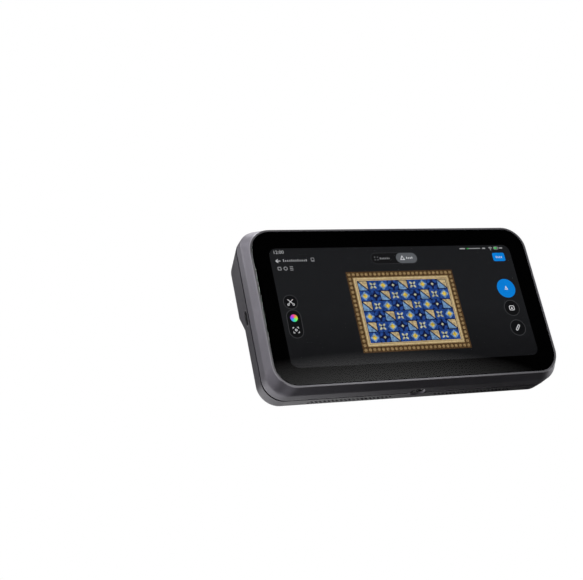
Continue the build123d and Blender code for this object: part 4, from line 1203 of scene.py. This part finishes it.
class SCANNER_OT_picture(bpy.types.Operator):
    """Framed tile design that the screen shows as a scanned object"""

    bl_idname = "scanner.picture"
    bl_label = "Shown picture"

    def execute(self, context):
        design = context.scene.scanner_picture
        low, high = spot("picture_low"), spot("picture_high")
        size, middle = high - low, (high + low) / 2
        inner = size - 2 * flat(design.carved, design.carved)
        field = inner - 2 * flat(design.moulding, design.moulding)
        self.gilt_frame(design, middle, size, inner, field)
        self.quilt(design, middle, field)
        return {"FINISHED"}

    def gilt_frame(self, design, middle, size, inner, field):
        """Carved band with beads, and a plain moulding with two lines inside it."""
        outer_line, inner_line, line_room = 0.22, 0.16, 0.7
        gilt_shade, ground_shade, pale_shade = 0.72, 0.4, 0.45
        gilt_grain, ground_grain, pale_grain = 0.0012, 0.0008, 0.0006
        carved, moulding = design.carved, design.moulding
        round_off = moulding / 10
        gilt = lit("gilt", design.gilt, tinted(design.gilt, gilt_shade), gilt_grain)
        ground = lit("gilt_dark", design.gilt_dark, tinted(design.gilt_dark, ground_shade), ground_grain)
        pale = lit("gilt_pale", design.gilt_pale, tinted(design.gilt_pale, pale_shade), pale_grain)
        sheet_piece("picture_carved_band", [band(middle, size.x, size.y, round_off, carved)], 1, ground)
        sheet_piece("picture_moulding", [band(middle, inner.x, inner.y, round_off, moulding)], 1, gilt)
        within = field + moulding * flat(line_room, line_room)
        lines = [
            band(middle, inner.x, inner.y, round_off, moulding * outer_line),
            band(middle, within.x, within.y, round_off, moulding * inner_line),
        ]
        sheet_piece("picture_moulding_lines", lines, 2, pale)
        self.beads(middle, size, carved, design.bead, pale)

    def quilt(self, design, middle, field):
        """Tiles in a repeating order, each a ground with patches on it."""
        joint_shade, tile_shade, tile_grain = 0.4, 0.45, 0.0011
        row_shift, kinds = 2, 4
        step = flat(field.x / design.columns, field.y / design.rows)
        first = middle - field / 2 + step / 2
        groups = {}
        for column in range(design.columns):
            for row in range(design.rows):
                place = first + flat(column * step.x, row * step.y)
                self.tile(groups, (column + row_shift * row) % kinds, place, step)
        joint = lit("tile_joint", tinted(design.navy, joint_shade))
        sheet_piece("picture_field", [plate(middle, field.x, field.y, design.moulding / 10)], 1, joint)
        tones = {}
        for (key, level), shapes in groups.items():
            colour = getattr(design, key)
            if key not in tones:
                tones[key] = lit(f"tile_{key}", colour, tinted(colour, tile_shade), tile_grain)
            sheet_piece(f"picture_{key}_{level}", shapes, level, tones[key])

    def tile(self, groups, kind, place, size):
        """Sort one tile's ground and patches into groups of a colour and a level."""
        grounds = ("mid_blue", "navy", "navy", "mid_blue")
        ground_share, corner_share = 0.97, 0.05
        star, star_heart = 0.44, 0.26
        fan_corner, fan_inner, fan_outer, fan_heart = 0.48, 0.12, 0.4, 0.14
        wedge = ((-0.44, -0.36), (-0.36, -0.44), (0.36, -0.44), (-0.44, 0.36))
        petal, petal_heart = 0.44, 0.15
        small = min(size)

        def patch(colour, level, *shapes):
            groups.setdefault((colour, level), []).extend(shapes)

        ground = plate(place, size.x * ground_share, size.y * ground_share, small * corner_share)
        patch(grounds[kind], 2, ground)
        if kind == 0:
            patch("pale_blue", 3, self.diamond(place, small * star))
            patch("yellow", 4, self.diamond(place, small * star_heart))
        elif kind == 1:
            for index, (side, rise) in enumerate(((-1, -1), (1, -1), (1, 1), (-1, 1))):
                corner = place + fan_corner * flat(side * size.x, rise * size.y)
                start = 90 * index
                patch("mid_blue", 3, sector(corner, small * fan_inner, small * fan_outer, start, start + 90))
            patch("cream", 3, self.diamond(place, small * fan_heart))
        elif kind == 2:
            patch("pale_blue", 3, (traced(place, wedge, small), None))
            patch("gilt", 3, (traced(place, wedge, -small), None))
        else:
            for turn in (45, 135, 225, 315):
                patch("cream", 3, self.petal(place, small * petal, turn))
            patch("navy", 4, self.diamond(place, small * petal_heart))

    @staticmethod
    def diamond(place, reach):
        """Square that stands on a corner."""
        return traced(place, ((1, 0), (0, 1), (-1, 0), (0, -1)), reach), None

    @staticmethod
    def petal(place, reach, turn):
        """Leaf shape between two arcs that grows from a point."""
        fullness = 0.9
        along = reach * flat(math.cos(math.radians(turn)), math.sin(math.radians(turn)))
        across = fullness * flat(-along.y, along.x)
        shares = (0.1, 0.3, 0.5, 0.7, 0.9)
        side = [place + along * share + across * share * (1 - share) for share in shares]
        other = [place + along * share - across * share * (1 - share) for share in reversed(shares)]
        return side + other, None

    @staticmethod
    def beads(middle, size, carved, pitch, material):
        """Carved beads along the outer band of the picture's frame."""
        bead_share, bead_sides = 0.27, 12
        sheet = bpy.context.scene.scanner_screen.sheet
        half = (size - flat(carved, carved)) / 2
        across, up = (max(1, round(2 * span / pitch)) for span in half)
        places = []
        for side in (-1, 1):
            places += [(half.x * (2 * step / across - 1), side * half.y) for step in range(across + 1)]
        for side in (-1, 1):
            places += [(side * half.x, half.y * (2 * step / up - 1)) for step in range(1, up)]
        depth = layer_back(2) - sheet / 2
        points = [(middle.x + x, depth, middle.y + z) for x, z in places]
        growth = Growth("picture beads", {"Radius": carved * bead_share, "Thickness": sheet})
        bead = growth.puck(bead_sides, growth.source["Radius"], growth.source["Thickness"])
        mesh = growth.grow(bead, points, material, turn=FACING_WINDOW)
        add_piece("picture_beads", mesh, material)


class SCANNER_OT_stage(bpy.types.Operator):
    """Camera, lamps, room light, pale floor and the dark cards that the gloss sees"""

    bl_idname = "scanner.stage"
    bl_label = "Studio"

    def execute(self, context):
        studio = context.scene.scanner_studio
        context.scene.view_settings.view_transform = "Standard"
        self.camera(studio)
        self.room(studio)
        self.floor(studio)
        for name, place, width, power in LAMPS:
            self.lamp(name, CENTRE + SPAN * Vector(place), SPAN * width, power)
        for name, place, width, turn, glows in CARDS:
            self.card(studio, name, CENTRE + SPAN * Vector(place), SPAN * width, turn, glows)
        return {"FINISHED"}

    @staticmethod
    def camera(studio):
        """Camera at the photograph's viewing angle."""
        nearest = 0.01
        data = bpy.data.cameras.new("camera")
        data.sensor_fit = "HORIZONTAL"
        data.sensor_width = studio.sensor
        data.lens = studio.lens
        data.clip_start = nearest
        view = Vector(studio.aim) - Vector(studio.place)
        turn = view.to_track_quat("-Z", "Y") @ Quaternion((0, 0, 1), studio.roll)
        made = bpy.data.objects.new("camera", data)
        made.matrix_world = Matrix.LocRotScale(Vector(studio.place), turn, None)
        bpy.context.scene.collection.objects.link(made)
        bpy.context.scene.camera = made

    @staticmethod
    def room(studio):
        """White room for the camera, the gloss and the glass, and soft light from above for the rest."""
        dimmest, brightest = -0.35, 0.6
        world = bpy.data.worlds.new("room")
        bpy.context.scene.world = world
        world.use_nodes = True
        tree = world.node_tree
        tree.nodes.clear()
        height = coordinate(tree, "Z", "Generated")
        level = spread(tree, height, studio.ambient_low, studio.ambient, dimmest, brightest)
        soft = new_node(tree, "ShaderNodeBackground", {"Color": opaque(WHITE), "Strength": level})
        white = new_node(tree, "ShaderNodeBackground", {"Color": opaque(WHITE), "Strength": 1.0})
        path = new_node(tree, "ShaderNodeLightPath").outputs
        seen = path["Is Camera Ray"]
        for other in ("Is Glossy Ray", "Is Transmission Ray"):
            seen = computed(tree, "MAXIMUM", seen, path[other])
        new_node(tree, "ShaderNodeOutputWorld", {"Surface": either(tree, seen, soft, white).outputs[0]})

    @staticmethod
    def floor(studio):
        """Pale floor that takes the shadow, and that is clear from below."""
        grain_size, grain_shade = 0.4, 0.985
        made, tree = new_material("floor_pale")
        grain = object_noise(tree, grain_size)
        colour = ramp(tree, grain, GRAIN_STOPS, (tinted(studio.floor, grain_shade), studio.floor))
        matt = new_node(tree, "ShaderNodeBsdfDiffuse", {"Color": colour})
        clear = new_node(tree, "ShaderNodeBsdfTransparent")
        below = new_node(tree, "ShaderNodeNewGeometry").outputs["Backfacing"]
        finished(made, either(tree, below, matt, clear))
        level = CAD_BOX[0].z - studio.floor_drop
        rim = [(x, y, level) for x, y in disc(flat(0, 0), FLOOR_REACH * SPAN, FLOOR_SIDES)[0]]
        mesh = bpy.data.meshes.new("floor")
        mesh.from_pydata(rim, [], [range(len(rim))])
        mesh.materials.append(made)
        floor = bpy.data.objects.new("floor", mesh)
        bpy.context.scene.collection.objects.link(floor)
        floor.visible_diffuse = floor.visible_glossy = False
        floor.visible_transmission = floor.visible_shadow = False

    @staticmethod
    def lamp(name, place, width, power):
        """Square soft lamp that faces the part."""
        data = bpy.data.lights.new(name, "AREA")
        data.size = width
        data.energy = power
        lamp = bpy.data.objects.new(name, data)
        lamp.visible_camera = False
        lamp.matrix_world = Matrix.LocRotScale(place, (CENTRE - place).to_track_quat("-Z", "Y"), None)
        bpy.context.scene.collection.objects.link(lamp)

    @staticmethod
    def card(studio, name, place, width, turn, glows):
        """Dark card that the gloss and the glass see, with soft glows at places of the room."""
        made, tree = new_material(name)
        coords = new_node(tree, "ShaderNodeTexCoord").outputs["Object"]
        level = studio.card
        for glow in glows:
            middle = getattr(studio, f"{glow}_glow")
            shares = [1 / part for part in getattr(studio, f"{glow}_reach")]
            shift = [-part * share for part, share in zip(middle, shares)]
            inputs = {"Vector": coords, "Location": shift, "Scale": shares}
            mapped = new_node(tree, "ShaderNodeMapping", inputs).outputs[0]
            ball = new_node(tree, "ShaderNodeTexGradient", {"Vector": mapped}, gradient_type="SPHERICAL")
            gain = getattr(studio, f"{glow}_gain")
            level = computed(tree, "MULTIPLY_ADD", ball.outputs["Fac"], gain, level)
        finished(made, new_node(tree, "ShaderNodeEmission", {"Color": opaque(WHITE), "Strength": level}))
        half = width / 2
        corners = [(-half, -half, 0), (half, -half, 0), (half, half, 0), (-half, half, 0)]
        mesh = bpy.data.meshes.new(name)
        mesh.from_pydata(corners, [], [(0, 1, 2, 3)])
        mesh.transform(Matrix.Translation(place) @ Matrix.Rotation(turn, 4, "X"))
        mesh.materials.append(made)
        card = bpy.data.objects.new(name, mesh)
        bpy.context.scene.collection.objects.link(card)
        card.visible_camera = card.visible_diffuse = card.visible_shadow = False


class SCANNER_PT_panel(bpy.types.Panel):
    """Steps that dress the scanner, in order"""

    bl_idname = "SCANNER_PT_panel"
    bl_label = "Scanner"
    bl_space_type = "VIEW_3D"
    bl_region_type = "UI"
    bl_category = "Scanner"

    def draw(self, context):
        for step in STEPS:
            self.layout.operator(step.bl_idname)


GROUPS = {
    "scanner_body": BodyFinish,
    "scanner_screen": ScreenLayout,
    "scanner_picture": PictureDesign,
    "scanner_optics": OpticsDetail,
    "scanner_studio": StudioSetup,
}
STEPS = (
    SCANNER_OT_body,
    SCANNER_OT_panes,
    SCANNER_OT_inside,
    SCANNER_OT_optics,
    SCANNER_OT_sockets,
    SCANNER_OT_screen,
    SCANNER_OT_keys,
    SCANNER_OT_picture,
    SCANNER_OT_stage,
)


def register():
    """Register the property groups, the steps and the panel."""
    for name, group in GROUPS.items():
        bpy.utils.register_class(group)
        setattr(bpy.types.Scene, name, PointerProperty(type=group))
    for step in (*STEPS, SCANNER_PT_panel):
        bpy.utils.register_class(step)


def unregister():
    """Take back what register did."""
    for step in (SCANNER_PT_panel, *reversed(STEPS)):
        bpy.utils.unregister_class(step)
    for name, group in reversed(GROUPS.items()):
        delattr(bpy.types.Scene, name)
        bpy.utils.unregister_class(group)


def main():
    """Dress the scanner step by step."""
    register()
    bpy.ops.scanner.body()
    bpy.ops.scanner.panes()
    bpy.ops.scanner.inside()
    bpy.ops.scanner.optics()
    bpy.ops.scanner.sockets()
    bpy.ops.scanner.screen()
    bpy.ops.scanner.keys()
    bpy.ops.scanner.picture()
    bpy.ops.scanner.stage()


if __name__ == "__main__":
    main()
